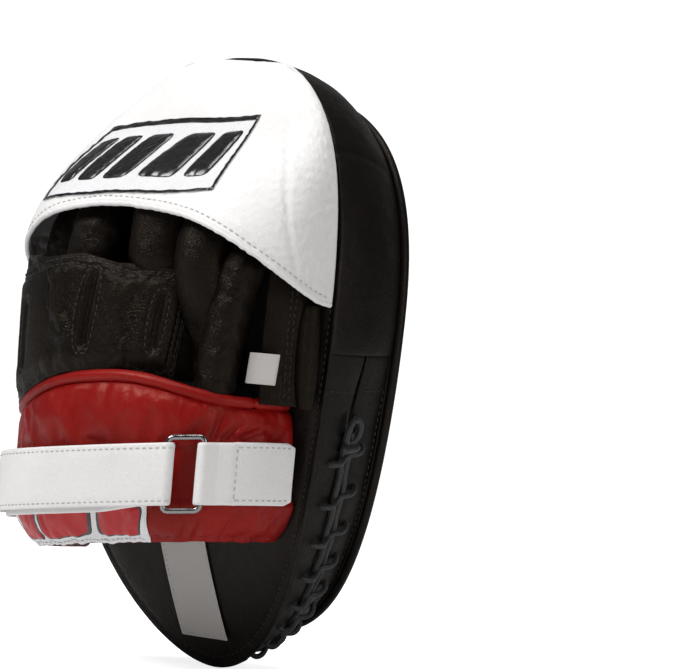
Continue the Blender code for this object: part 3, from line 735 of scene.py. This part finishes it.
def face_marks():
    """Three red rounded bars, outlined in black and white, on the wrist half of the face."""
    for number, middle in enumerate(MARK_MIDDLES):
        for name, grow, lift, material in (("border", 2.4 * MM, 0.5 * MM, PATCH_WHITE),
                                           ("outline", 1.2 * MM, 0.8 * MM, PATCH_BLACK),
                                           ("bar", 0.0, 1.1 * MM, BADGE_RED)):
            def bar(p, q, middle=middle, grow=grow, lift=lift):
                x = middle + (MARK_HALF_WIDTH + grow) * (2 * p - 1) + MARK_LEAN * (q - 0.5)
                z = MARKS_Z + (MARK_HALF_HEIGHT + grow) * (2 * q - 1)
                return pad_point(x, z, 0.4 * MM - 1.0 * MM - lift)

            Sheet(rounded_patch(bar), 22, 18).make(f"face_{name}_{number + 1}", 0.25 * MM, material,
                                                   slot=BADGE_SLOT, soft=False)


def lacing():
    """Two cords side by side along the hollow, short ties across it, and a looped knot at the thumb end."""
    span = np.radians(np.linspace(-20, -160, 300))
    waver = 0.5 * MM * np.sin(span * 43)  # the cords are never quite straight
    for number, side in enumerate((-1, 1)):
        line = wall_point(span, PAD_SEAM + side * 2.1 * MM + side * waver, 1.1 * MM + 0.3 * waver)
        tube(f"lace_run_{number + 1}", line, 1.5 * MM, CORD, "" if number else "side_lace")
    across = np.linspace(-1, 1, 21)
    for number, angle in enumerate(lace_angles()):
        swing = 0.02 * (1 if angle > -pi / 2 else -1)
        rise = 2.9 * MM * np.sqrt(np.clip(1 - across**2, 0, 1)) - 1.6 * MM * across**8
        line = wall_point(angle - swing * across, PAD_SEAM + across * 11.5 * MM, rise)
        tube(f"lace_tie_{number + 1}", line, 1.35 * MM, CORD)
    turn = np.linspace(0, 2 * pi, 40)[:-1]
    centre = radians(-19.5)
    knot = wall_point(centre + 0.040 * np.cos(turn), PAD_SEAM + 4.2 * MM * np.sin(turn),
                      2.6 * MM + 0.8 * MM * np.cos(turn))
    tube("lace_loop", knot, 1.5 * MM, CORD, closed=True)
    tie = wall_point(radians(-22.5) + 0 * across, PAD_SEAM + across * 5 * MM, 3.6 * MM - 2.2 * MM * across**2)
    tube("lace_knot", tie, 2.0 * MM, CORD)


def inner_layers():
    """New materials for the CAD nodes that stay."""
    for node, material in (("strike_foam", FOAM), ("core_foam", FOAM), ("backing_foam", FOAM),
                           ("gel_layer", GEL), ("palm_lining", LINING)):
        frame["nodes"][node].data.materials.clear()
        frame["nodes"][node].data.materials.append(material)


# ---- wrist cuff


def cuff():
    def formula(angle, across):
        low, high = CUFF_BOTTOM_Z, cuff_top(angle) + 1.2 * MM
        return cuff_point(angle, low + (high - low) * across, -1.0 * MM)

    angles = np.radians(np.linspace(0, 180, 121))
    sheet = Sheet(formula, angles, 45)
    z = sheet.points[..., 2] - CUFF_SLANT * sheet.points[..., 0]
    under_strap = smooth((z - (STRAP_MIDDLE_Z - STRAP_HALF)) / (3 * MM)) * smooth(
        ((STRAP_MIDDLE_Z + STRAP_HALF) - z) / (3 * MM))
    edge = np.minimum(sheet.v, 1 - sheet.v)
    pin = np.clip(np.where(edge < 0.02, 1, 0) + 0.8 * under_strap + np.where(
        (sheet.u < radians(1)) | (sheet.u > radians(179)), 1, 0), 0, 1)
    folds = roughen(sheet.points, 9 * MM, 1.5, (1, 1, 0.45))
    sheet.push((1 - under_strap) * (0.25 * MM * folds + 1.2 * MM * np.sin(pi * np.clip(edge * 4, 0, 1) / 2)))
    sheet.simulate(pin, 3.0, 0.035, 5 * MM)
    # creases gather towards the thumb-side end and under the ring
    gather = smooth((radians(75) - sheet.u) / radians(45))
    ridges = roughen(sheet.points, 5 * MM, 9.0, (1, 1, 0.22))
    top_edge = bump(1 - sheet.v, 0.035)
    sheet.push((1 - under_strap) * (0.10 * MM + 0.55 * MM * gather) * ridges - 1.4 * MM * top_edge)
    for first, last, low, high in CUFF_CREASES:
        line, _ = sheet.place(np.radians(np.linspace(first, last, 40)), np.linspace(low, high, 40))
        sheet.groove(line, 1.8 * MM, 1.2 * MM)
    stitches = Thread(RED_THREAD)
    sew_on(stitches, sheet, np.linspace(angles[1], angles[-2], 260), 0.045, 0.6 * MM, 1.2 * MM)
    stitches.make("cuff_stitches")
    sheet.make("cuff_leather", 1.6 * MM, RED, "cuff_shell")
    span = np.radians(np.linspace(1, 179, 200))
    line = cuff_point(span, cuff_top(span) + WELT_RADIUS + 0.4 * MM, -WELT_RADIUS)
    notch = bump(span - radians(18), 0.018)
    swell = 1 + 0.07 * np.array([noise.noise(Vector((a * 9, 0.5, 0))) for a in span]) - 0.28 * notch
    tube("cuff_welt_roll", line, 1.05 * WELT_RADIUS * swell, RED, "cuff_welt", sides=16)
    for name, lift, thickness, material in (("cuff_foam", -2.4, 7.4, FOAM),
                                            ("cuff_lining", -10.2, 1.3, LINING)):
        def layer(angle, across, lift=lift):
            low, high = CUFF_BOTTOM_Z + 0.8 * MM, cuff_top(angle) + 0.6 * MM
            return cuff_point(angle, low + (high - low) * across, lift * MM)

        Sheet(layer, angles[2:-2:3], 12).make(f"{name}_layer", thickness * MM, material, name, soft=False)
    return sheet


def badge(cuff_sheet):
    """White patch under the strap with red rounded bars, gathered along its lower edge."""

    def spot(a, b, lift=0.0):
        angle = np.radians(BADGE_ANGLES[0] + (BADGE_ANGLES[1] - BADGE_ANGLES[0]) * a)
        z = BADGE_LOW_Z + BADGE_HEIGHT * b
        across = (z - CUFF_BOTTOM_Z) / (cuff_top(angle) + 1.2 * MM - CUFF_BOTTOM_Z)
        return cuff_sheet.place(angle, across, lift)[0]

    sheet = Sheet(lambda a, b: spot(a, b, 0.9 * MM), 90, 24)
    gathers = np.sin(sheet.u * 2 * pi * 13) * (1 - sheet.v) ** 2
    sheet.push(0.2 * MM * roughen(sheet.points, 5 * MM, 3.3, (1, 1, 0.3)) + 0.35 * MM * gathers)
    stitches = Thread(WHITE_THREAD, 0.28 * MM)
    sew_on(stitches, sheet, np.linspace(0.03, 0.97, 80), 0.08, 0.3 * MM, 0.8 * MM,
           pitch=2.4 * MM, length=1.7 * MM)
    stitches.make("badge_stitches", BADGE_SLOT)
    sheet.make("badge_ground", 0.7 * MM, PATCH_WHITE, "cuff_badge", BADGE_SLOT)
    for number, (first, width) in enumerate(BADGE_BARS):
        layers = (("outline", 0.010, 0.12 * MM, PATCH_BLACK), ("bar", 0.0, 0.45 * MM, BADGE_RED))
        for name, grow, lift, material in layers:
            def bar(p, q, grow=grow, first=first, width=width):
                a = first - grow + (width + 2 * grow) * p + 0.03 * (q - 0.5)
                b = 0.19 - 3 * grow + (0.66 + 6 * grow) * q
                return sheet.place(a, b)[0]

            make_raised(f"badge_{name}_{number + 1}", bar, lift, material, BADGE_SLOT)


def rounded_patch(formula, power=6):
    """The same patch with round corners: its square of parameters is pulled to a superellipse."""

    def pulled(p, q):
        x, y = 2 * p - 1, 2 * q - 1
        size = np.maximum(np.maximum(np.abs(x), np.abs(y)), 1e-9)
        radius = (np.abs(x / size) ** power + np.abs(y / size) ** power) ** (1 / power)
        return formula((x / radius + 1) / 2, (y / radius + 1) / 2)

    return pulled


def make_raised(name, formula, lift, material, slot=None):
    """A puffed applique with rounded corners."""
    piece = Sheet(rounded_patch(formula), 26, 20)
    edge = np.minimum(np.minimum(piece.u, 1 - piece.u), np.minimum(piece.v, 1 - piece.v))
    piece.push(0.15 * MM + lift * np.sqrt(np.clip(edge / 0.16, 0, 1)))
    piece.make(name, 0.35 * MM, material, slot=slot)


# ---- strap and ring


def strap_line(first, last, lift, steps=60):
    return cuff_point(np.radians(np.linspace(first, last, steps)), STRAP_MIDDLE_Z, lift)[:, :2]


def band(centre, half_height, thickness=STRAP_LEATHER):
    """A standing band of leather along a plan line, as a sheet over distance and height, and its length."""
    steps = np.linalg.norm(np.diff(centre, axis=0), axis=1)
    length = np.concatenate([[0], np.cumsum(steps)])

    def formula(s, h):
        x = np.interp(s, length, centre[:, 0])
        y = np.interp(s, length, centre[:, 1])
        return np.stack([x, y, STRAP_MIDDLE_Z + CUFF_SLANT * x + h], -1)

    us = np.linspace(0, length[-1], max(12, int(length[-1] / (0.8 * MM))))
    return Sheet(formula, us, np.linspace(-half_height, half_height, 15)).push(thickness / 2), length[-1]


def wrap(centre, start, turn):
    """Half a turn of leather round a ring bar."""
    angle = np.linspace(0, turn * pi, 14) + atan2(start[1], start[0])
    return centre + STRAP_LOOP * np.stack([np.cos(angle), np.sin(angle)], -1)


def strap():
    """The short strap with the ring, the strap sewn on the cuff, the free end and the two tapes."""
    joints = {joint["name"]: np.array(joint["pos_m"][:2]) for joint in frame["joints"]}
    right, left = joints["ring_swivel"], joints["strap_peel"]
    out_right, out_left = (bar - strap_line(degrees, 90, 0, 2)[0]
                           for bar, degrees in zip((right, left), RING_ANGLES))
    edge = STRAP_HALF - 2.2 * MM

    near = RING_ANGLES[0] - 6
    sheet, length = band(np.vstack([strap_line(5, near, 1.8 * MM), wrap(right, -out_right, 1),
                                    strap_line(near, 3, 5.2 * MM)]), STRAP_HALF)
    sheet.push(0.12 * MM * roughen(sheet.points, 12 * MM, 6.0))
    sheet.points[..., 2] -= 0.10 * sheet.v * smooth((sheet.u - (length - 5 * MM)) / (5 * MM))
    stitches = Thread(WHITE_THREAD)
    seam = length - 32 * MM
    for side in (-1, 1):
        sew_on(stitches, sheet, np.linspace(seam, length - 2.5 * MM, 90), side * edge, 0.4 * MM)
    sew_on(stitches, sheet, seam, np.linspace(-edge, edge, 60), 0.4 * MM)
    sheet.make("strap_stub_leather", STRAP_LEATHER, WHITE, "strap_stub")
    stitches.make("strap_stub_stitches")

    sheet, length = band(strap_line(RING_ANGLES[1] + 5.5, 178, 1.8 * MM, 90), STRAP_HALF)
    sheet.points[..., 2] -= 2.4 * MM * smooth(sheet.u / (30 * MM))
    sheet.make("strap_under_leather", STRAP_LEATHER, WHITE, "strap_under")

    sheet, length = band(np.vstack([wrap(left, -out_left, -1),
                                    strap_line(RING_ANGLES[1] + 7, 166, 6.3 * MM, 90)]), STRAP_HALF)
    sheet.points[..., 2] -= 0.12 * sheet.v * smooth((sheet.u - (length - 6 * MM)) / (6 * MM))
    sheet.push(0.2 * MM * roughen(sheet.points, 14 * MM, 8.0))
    stitches = Thread(WHITE_THREAD)
    for side in (-1, 1):
        sew_on(stitches, sheet, np.linspace(5 * MM, length - 3 * MM, 200), side * edge, 0.4 * MM)
    sew_on(stitches, sheet, length - 3 * MM, np.linspace(-edge, edge, 60), 0.4 * MM)
    sheet.make("strap_end_leather", STRAP_LEATHER, WHITE, "strap_end", body="strap_flap")
    stitches.make("strap_end_stitches", body="strap_flap")

    for node, first, last, lift, material, body in (("loop_tape", 82, 170, 3.4, LOOP_TAPE, "mitt"),
                                                    ("hook_tape", 98, 160, 4.7, HOOK_TAPE, "strap_flap")):
        sheet, length = band(strap_line(first, last, lift * MM), STRAP_HALF - 1.6 * MM, TAPE)
        sheet.make(f"{node}_cloth", TAPE, material, node, body=body, soft=False)
    ring(right, left)


def ring(right, left):
    """The rectangular wire ring, with round corners and a brazed joint."""
    low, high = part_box("strap_ring")
    wire = 1.35 * MM
    half_height = (high.z - low.z) / 2 - wire
    middle_z = STRAP_MIDDLE_Z + CUFF_SLANT * (right[0] + left[0]) / 2
    half_width = np.linalg.norm(right - left) / 2
    across = (right - left) / np.linalg.norm(right - left)
    centre = (right + left) / 2
    corner = 2.3 * MM
    path = []
    for start, sx, sz in ((0, 1, 1), (90, -1, 1), (180, -1, -1), (270, 1, -1)):
        for a in np.radians(np.linspace(start, start + 90, 9)):
            u = sx * (half_width - corner) + corner * cos(a)
            w = sz * (half_height - corner) + corner * sin(a)
            path.append([*(centre + across * u), middle_z + CUFF_SLANT * across[0] * u + w])
    path = np.array(path + path[:1])
    even, _ = resample(path, 1.2 * MM)
    tube("ring_wire", even, wire, RING_METAL, "strap_ring", "ring", closed=True, sides=14)


# ---- hood


def hood():
    def formula(angle, across):
        low = hood_edge(angle)
        return hood_point(angle, low + (HOOD_TOP_Z - low) * across)

    angles = np.radians(np.linspace(0, 180, 151))
    rows = np.concatenate([np.linspace(0, 0.09, 8), np.linspace(0.11, 1, 50)])
    sheet = Sheet(formula, angles, rows)
    ends = (sheet.u < radians(1)) | (sheet.u > radians(179))
    pin = np.where(ends | (sheet.v > 0.985) | (sheet.v < 0.01), 1.0, 0.35)
    sheet.simulate(pin, 1.0, 0.02, 3 * MM)
    soft = roughen(sheet.points, 26 * MM, 3.0, (1, 1, 0.6))
    fine = roughen(sheet.points, 8 * MM, 11.0, (1, 1, 0.5))
    sheet.push(0.7 * MM * soft + 0.16 * MM * fine)
    crease_z = np.linspace(30 * MM, 104 * MM, 90)
    crease_angle = np.radians(np.interp(crease_z, [0.030, 0.060, 0.090, 0.104], [18, 28, 41, 46]))
    crease_v = (crease_z - hood_edge(crease_angle)) / (HOOD_TOP_Z - hood_edge(crease_angle))
    line, _ = sheet.place(crease_angle, crease_v)
    sheet.groove(line, 0.55 * MM, 1.6 * MM)
    stitches = Thread(WHITE_THREAD)
    span = np.linspace(radians(2), radians(178), 420)
    drop = 2.6 * MM / (HOOD_TOP_Z - hood_edge(span))
    sew_on(stitches, sheet, span, drop, 0.45 * MM, 1.1 * MM)
    stitches.make("hood_stitches")
    sheet.make("hood_leather", 2.0 * MM, WHITE, "hood")
    edge, normals = sheet.place(np.linspace(radians(0.5), radians(179.5), 300), np.zeros(300))
    line = edge - normals * 0.9 * MM - np.array([0, 0, 0.5 * MM])
    tube("hood_edge_roll", line, 1.25 * MM, WHITE, "hood_binding", sides=12)
    return sheet


def hood_patch(hood_sheet):
    """Framed white patch with puffed, slanted black bars."""

    def spot(a, b, lift=0.0):
        angle = np.radians(PATCH_ANGLES[0] + (PATCH_ANGLES[1] - PATCH_ANGLES[0]) * a)
        z = PATCH_LOW_Z + PATCH_HEIGHT * b - PATCH_DROP * (1 - a)
        across = (z - hood_edge(angle)) / (HOOD_TOP_Z - hood_edge(angle))
        return hood_sheet.place(angle, across, lift)[0]

    Sheet(lambda a, b: spot(a, b, 0.35 * MM), 60, 30).make(
        "patch_ground", 0.5 * MM, PATCH_WHITE, "hood_patch")
    bars = (
        ("top", (0.0, 1.0), (0.935, 1.0)), ("left", (0.0, 0.035), (0.0, 0.935)),
        ("right", (0.985, 1.0), (0.0, 0.935)), ("bottom", (0.035, 0.985), (0.0, 0.03)),
    )
    for name, (a0, a1), (b0, b1) in bars:
        def strip(p, q, a0=a0, a1=a1, b0=b0, b1=b1):
            return spot(a0 + (a1 - a0) * p, b0 + (b1 - b0) * q, 0.5 * MM)

        Sheet(strip, 40, 30).push(0.2 * MM).make(f"patch_frame_{name}", 0.3 * MM, PATCH_BLACK, soft=False)
    width = (PATCH_BARS_WIDTH - PATCH_BAR_GAP * (PATCH_BARS - 1)) / PATCH_BARS
    for number in range(PATCH_BARS):
        first = PATCH_BARS_START + number * (width + PATCH_BAR_GAP)

        def bar(p, q, first=first):
            return spot(first + width * p + 0.045 * q, 0.2 + 0.6 * q, 0.4 * MM)

        make_raised(f"patch_bar_{number + 1}", bar, 1.1 * MM, PATCH_BLACK)


# ---- glove


def glove():
    def formula(angle, across):
        low = glove_low(angle) - 1.5 * MM
        return glove_point(angle, low + (GLOVE_HIGH_Z + 3 * MM - low) * across)

    angles = np.radians(np.linspace(22, 177, 120))
    sheet = Sheet(formula, angles, 44)
    edge = np.minimum(sheet.v, 1 - sheet.v)
    pin = np.where((edge < 0.02) | (sheet.u < angles[1]) | (sheet.u > angles[-2]), 1.0, 0.0)
    sheet.simulate(pin, 1.5, 0.04, 4 * MM)
    sheet.push(0.5 * MM * roughen(sheet.points, 11 * MM, 2.2, (1, 1, 0.4)))
    sheet.make("hand_back_leather", 1.8 * MM, GLOVE_BLACK, "hand_back")

    def layer(angle, across):
        low, high = glove_low(angle) + 1.0 * MM, GLOVE_HIGH_Z - 6 * MM
        return glove_point(angle, low + (high - low) * across, -3.2 * MM)

    liner = Sheet(layer, np.radians(np.linspace(36, 146, 40)), 12)
    liner.make("hand_liner", 2.4 * MM, LINING, "hand_gel_liner", "gel", soft=False)


def knuckle_panel():
    """A double-stitched pad over the knuckles, with a valley between two fingers and three stitched slots."""
    first, last = KNUCKLE_ANGLES

    def formula(angle, across):
        low = glove_low(angle) - 1.0 * MM
        high = GLOVE_HIGH_Z + np.interp(np.degrees(angle), *KNUCKLE_TOP) * MM
        # the thumb-side edge leans towards the middle of the hand at the wrist
        lean = KNUCKLE_LEAN * (1 - across) * (last - angle) / (last - first)
        return glove_point(angle + lean, low + (high - low) * across, 1.5 * MM)

    angles = np.linspace(first, last, 150)
    sheet = Sheet(formula, angles, 60)
    edge = np.minimum(np.minimum(sheet.v, 1 - sheet.v) * KNUCKLE_LENGTH,
                      np.minimum(sheet.u - angles[0], angles[-1] - sheet.u) * KNUCKLE_WIDTH)
    sheet.simulate(np.where(edge < 1.0 * MM, 1.0, 0.0), 1.5, 0.02, 2 * MM)
    folds = roughen(sheet.points, 12 * MM, 4.4, (1, 1, 0.5))
    sheet.push(2.4 * MM * smooth(edge / (9 * MM)) + 0.5 * MM * folds)
    stitches = Thread(BLACK_THREAD)
    for inset in (2.0 * MM, 4.6 * MM):
        du, dv = inset / KNUCKLE_WIDTH, inset / KNUCKLE_LENGTH
        left, right = angles[-1] - du, angles[0] + du
        sew_on(stitches, sheet, np.linspace(right, left, 200), 1 - dv, 0.8 * MM, 0.9 * MM)
        for side in (left, right):
            sew_on(stitches, sheet, side, np.linspace(dv, 1 - dv, 90), 0.8 * MM, 0.9 * MM)
    for degrees, middle, half_length in KNUCKLE_SLOTS:
        core = np.linspace(-0.8, 0.8, 60)
        line, _ = sheet.place(radians(degrees), middle + half_length * core)
        sheet.groove(line, 2.6 * MM, 1.9 * MM)
        turn = np.linspace(0, 2 * pi, 140)
        u = radians(degrees) + SLOT_HALF_ANGLE * signed_power(np.cos(turn), 0.6)
        v = middle + half_length * signed_power(np.sin(turn), 0.8)
        sew_on(stitches, sheet, u, v, 0.7 * MM)
    stitches.make("knuckle_stitches")
    sheet.make("knuckle_leather", 2.2 * MM, GLOVE_BLACK, "knuckle_panel")


def stall_section(x, z, radius, behind, settle):
    """Centre Y and half depth of a finger pocket between the pad and the hood or the back of the hand.

    Over the settling length below the glove's top edge it comes to lie this far behind the glove's surface;
    None leaves it clear of the glove.
    """
    far_x = x + 0.6 * radius * np.where(x > 0, 1, -1)
    half_width = rear_half_width(z) - 1.5 * MM - HOOD_THICKNESS
    side = np.sqrt(np.maximum(0, 1 - (far_x / half_width) ** 2))
    outer = back_y(z) - hood_depth(z) * side + 1.2 * MM
    outer = np.maximum(outer, back_y(z) - GLOVE_DEPTH * 0.92)
    if behind is not None:
        off_centre = x - GLOVE_CENTRE_X
        off_centre = np.abs(off_centre - 0.7 * radius * np.sign(off_centre)) / GLOVE_HALF_WIDTH
        height = (1 - np.minimum(1, off_centre) ** (2 / GLOVE_POWER)) ** (GLOVE_POWER / 2)
        level = back_y(z) - GLOVE_DEPTH * height + behind
        share = smooth((GLOVE_HIGH_Z + 8 * MM - z) / settle)
        outer = outer + share * (np.maximum(outer, level) - outer)
    deep = np.minimum(radius, (back_y(z) - 2.2 * MM - outer) / 2)
    return outer + deep, deep


def finger(node, name, seed, grow, reach_down, behind=None, settle=14 * MM, shift_x=0.0):
    """A leather finger pocket with soft folds across it."""
    low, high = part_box(node)
    tip_x, base_x, base_radius = node_ends(node)
    base_z = low.z - reach_down

    def formula(angle, across):
        x = base_x + shift_x + (tip_x - base_x) * across
        z = base_z + (high.z - base_z) * across
        radius = base_radius + grow + 0 * across
        centre_y, deep = stall_section(x, z, radius, behind, settle)
        close = np.sqrt(np.clip((1.04 - across) / 0.26, 0, 1))  # the tip rounds off
        return np.stack([x + radius * close * np.cos(angle), centre_y + deep * close * np.sin(angle), z], -1)

    sheet = Sheet(formula, full_turn(48), 40, closed=True)
    pin = np.where((sheet.v < 0.02) | (sheet.v > 0.98), 1.0, 0.1)
    sheet.simulate(pin, 1.2, 0.02, 1.2 * MM)
    long_folds = roughen(sheet.points, 17 * MM, seed, (1, 1, 0.2))
    cross_folds = roughen(sheet.points, 11 * MM, seed + 40, (0.5, 0.5, 1))
    sheet.push(1.2 * MM * long_folds + 0.12 * MM * cross_folds - 0.3 * MM)
    sheet.make(name, 1.4 * MM, GLOVE_BLACK, node)


def node_ends(node):
    """Middle x of a finger pocket at its tip and at its base, and its radius there."""
    obj = frame["nodes"][node]
    points = np.array([obj.matrix_world @ v.co for v in obj.data.vertices])
    x, z = points[:, 0], points[:, 2]
    tip, base = x[z > z.max() - 0.5 * MM], x[z < z.min() + 0.5 * MM]
    return tip.mean(), (base.max() + base.min()) / 2, (base.max() - base.min()) / 2


def fingers():
    for which, seed, grow, behind in (("little", 0.0, 1.6, 6), ("ring", 3.0, 1.9, 6),
                                      ("middle", 6.0, 3.0, 9)):
        finger(f"{which}_finger_stall", f"{which}_pocket", seed, grow * MM, 20 * MM, behind * MM)
    finger("index_finger_stall", "index_pocket", 9.0, 3.2 * MM, 52 * MM, 3 * MM, 48 * MM, 3 * MM)
    finger("thumb_stall", "thumb_pocket", 21.0, 0.6 * MM, 14 * MM, shift_x=-1 * MM)


def thumb_side():
    """The leather between the thumb and the rear panel, its stitched strip and the padded roll."""

    def formula(angle, across):
        z = -31 * MM + 62 * MM * across
        return arch(0, 77 * MM, back_y(z) - 40 * MM, angle, z)

    angles = np.radians(np.linspace(9, 34, 40))
    sheet = Sheet(formula, angles, 50)
    sheet.push(0.5 * MM * roughen(sheet.points, 9 * MM, 31.0, (1, 1, 0.4)))
    stitches = Thread(BLACK_THREAD)
    for degrees in (18, 21):
        sew_on(stitches, sheet, radians(degrees), np.linspace(0.05, 0.95, 90), 0.5 * MM)
    stitches.make("thumb_gusset_stitches")
    sheet.make("thumb_gusset_leather", 1.7 * MM, GLOVE_BLACK, "thumb_gusset")
    z = np.linspace(-31 * MM, 15 * MM, 60)
    line = np.stack([77.2 * MM + 0 * z, back_y(z) - 6.4 * MM, z], -1)
    swell = 5.2 * MM * np.sin(np.linspace(0.25, pi - 0.25, len(z))) ** 0.3
    tube("side_roll_leather", line, swell, GLOVE_BLACK, "side_roll", sides=18)


def palm():
    """The rounded grip roll under the fingers."""
    low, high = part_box("palm_grip")
    centre = (low + high) / 2
    half = (high - low) / 2

    def formula(angle, across):
        ring_size = np.sin(across) ** 0.8
        return np.stack([centre.x + half.x * np.cos(across), centre.y + half.y * ring_size * np.cos(angle),
                         centre.z + half.z * ring_size * np.sin(angle)], -1)

    sheet = Sheet(formula, full_turn(36), np.linspace(0.04, pi - 0.04, 40), closed=True)
    sheet.push(0.3 * MM * roughen(sheet.points, 8 * MM, 13.0) - 0.3 * MM)
    sheet.make("palm_grip_leather", 1.2 * MM, GLOVE_BLACK, "palm_grip")


# ---- labels


def care_label():
    low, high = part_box("care_label")

    def formula(a, b):
        x = low.x + (high.x - low.x) * a - (3 + 5 * b) * MM
        z = low.z + (high.z + 3 * MM - low.z) * b
        return np.stack([x, back_y(z, 1.3 * MM), z], -1)

    sheet = Sheet(formula, 30, 44)
    sheet.push(0.12 * MM * roughen(sheet.points, 9 * MM, 5.5))
    stitches = Thread(WHITE_THREAD, 0.25 * MM)
    for a, b in ((0.06, np.linspace(0.03, 1, 60)), (0.94, np.linspace(0.03, 1, 60)),
                 (np.linspace(0.06, 0.94, 60), 0.035)):
        sew_on(stitches, sheet, a, b, 0.2 * MM, 0.8 * MM, pitch=2.4 * MM, length=1.6 * MM)
    stitches.make("care_label_stitches", "label_fabric")
    sheet.make("care_label_cloth", 0.35 * MM, LABEL, "care_label")


def side_tag():
    joint = next(j for j in frame["joints"] if j["name"] == "tag_flip")
    pivot = np.array(joint["pos_m"]) - np.array([0, 0, 6 * MM])
    tilt = radians(28)
    along = np.array([cos(tilt), sin(tilt), 0])
    out = np.array([sin(tilt), -cos(tilt), 0])
    half_height, width = 7 * MM, 14 * MM
    # the folded cloth's line: shares of the width and millimetres off the side
    reaches, lifts = (0.0, 0.3, 0.7, 0.95, 1.0, 0.95, 0.6, 0.1), (0.3, 1.6, 1.5, 1.0, 0.5, 0.1, 0.1, -0.1)
    share = np.linspace(0, 1, len(reaches))

    def formula(s, h):
        a, lift = np.interp(s, share, reaches) * width, (np.interp(s, share, lifts) + 0.8) * MM
        return pivot + a[..., None] * along + lift[..., None] * out + h[..., None] * np.array([0.1, 0, 1])

    Sheet(formula, 40, np.linspace(-half_height, half_height, 16)).make(
        "side_tag_cloth", 0.3 * MM, LABEL, "side_tag", body="tag")


# ---- stage


def camera_only(tree, seen, lit):
    """A value that is one thing to the camera and another to the light."""
    path = add_node(tree, "LightPath")
    return ramp(tree, path.outputs["Is Camera Ray"], 0.0, 1.0, lit, seen)


def stage():
    """A pale floor that curves up into a backdrop, and a plain white surround."""
    pale, tree, shader, where = node_material("floor")
    tint = mix_colour(tree, noise_of(tree, where, 3.0, 2.0), (0.86, 0.86, 0.86), (0.89, 0.89, 0.89))
    put(tree, shader, {"Base Color": tint, "Roughness": 0.9, "Emission Color": (1, 1, 1, 1),
                       "Emission Strength": camera_only(tree, 0.80, 0.0)})
    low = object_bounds()[0].z - 0.2 * MM
    turn = np.radians(np.linspace(0, 90, 16))
    curve = [(1.6 + 0.9 * sin(t), low + 0.9 - 0.9 * cos(t)) for t in turn]
    profile = [(-4.0, low), *curve, (2.5, low + 4)]
    c, s = cos(VIEW_AZIMUTH), sin(VIEW_AZIMUTH)
    points = [(side * c - far * s, side * s + far * c, z) for far, z in profile for side in (-6, 6)]
    faces = [(2 * i, 2 * i + 1, 2 * i + 3, 2 * i + 2) for i in range(len(profile) - 1)]
    floor = mesh_object("floor", points, faces)
    bpy.context.scene.collection.objects.link(floor)
    floor.data.materials.append(pale)
    floor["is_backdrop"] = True
    world = bpy.data.worlds.new("studio")
    world.use_nodes = True
    back = world.node_tree.nodes["Background"]
    back.inputs[0].default_value = (1, 1, 1, 1)
    world.node_tree.links.new(camera_only(world.node_tree, 1.0, 0.07), back.inputs[1])
    bpy.context.scene.world = world
    bpy.context.scene.view_settings.view_transform = "Standard"


def softbox(name, place, aim, size, power):
    data = bpy.data.lights.new(name, "AREA")
    data.shape = "RECTANGLE"
    data.size, data.size_y = size
    data.energy = power
    lamp = bpy.data.objects.new(name, data)
    lamp.location = place
    lamp.rotation_euler = (Vector(aim) - Vector(place)).to_track_quat("-Z", "Y").to_euler()
    bpy.context.scene.collection.objects.link(lamp)


def lights():
    aim = (0, -0.04, 0)
    softbox("key_light", (-0.55, -1.2, 1.2), aim, (0.7, 0.7), 25)
    softbox("side_light", (1.5, -0.35, 0.35), aim, (0.25, 1.0), 6)
    softbox("top_light", (0.1, -0.2, 1.4), aim, (0.6, 0.6), 9)


def camera():
    """From behind the hand, turned to the thumb side, at eye level; the mitt stands left of the middle."""
    elevation, roll = radians(VIEW_ELEVATION), radians(VIEW_ROLL)
    aim = Vector((0, -0.04, -0.015))
    c, s = cos(VIEW_AZIMUTH), sin(VIEW_AZIMUTH)
    back = Vector((s * cos(elevation), -c * cos(elevation), sin(elevation)))
    right = Vector((c, s, 0))
    up = back.cross(right)
    data = bpy.data.cameras.new("camera")
    data.lens = VIEW_SCALE * VIEW_DISTANCE * 36
    data.sensor_width = 36
    cam = bpy.data.objects.new("camera", data)
    bpy.context.scene.collection.objects.link(cam)
    cam.location = aim + back * VIEW_DISTANCE
    looked_at = aim + right * VIEW_RIGHT + up * VIEW_UP
    turn = (looked_at - cam.location).to_track_quat("-Z", "Y").to_matrix()
    cam.rotation_mode = "QUATERNION"
    cam.rotation_quaternion = (turn @ Matrix.Rotation(roll, 3, "Z")).to_quaternion()
    bpy.context.scene.camera = cam


face()
target()
face_marks()
walls()
rear()
lacing()
inner_layers()
badge(cuff())
strap()
hood_patch(hood())
glove()
knuckle_panel()
fingers()
thumb_side()
palm()
care_label()
side_tag()
stage()
lights()
camera()
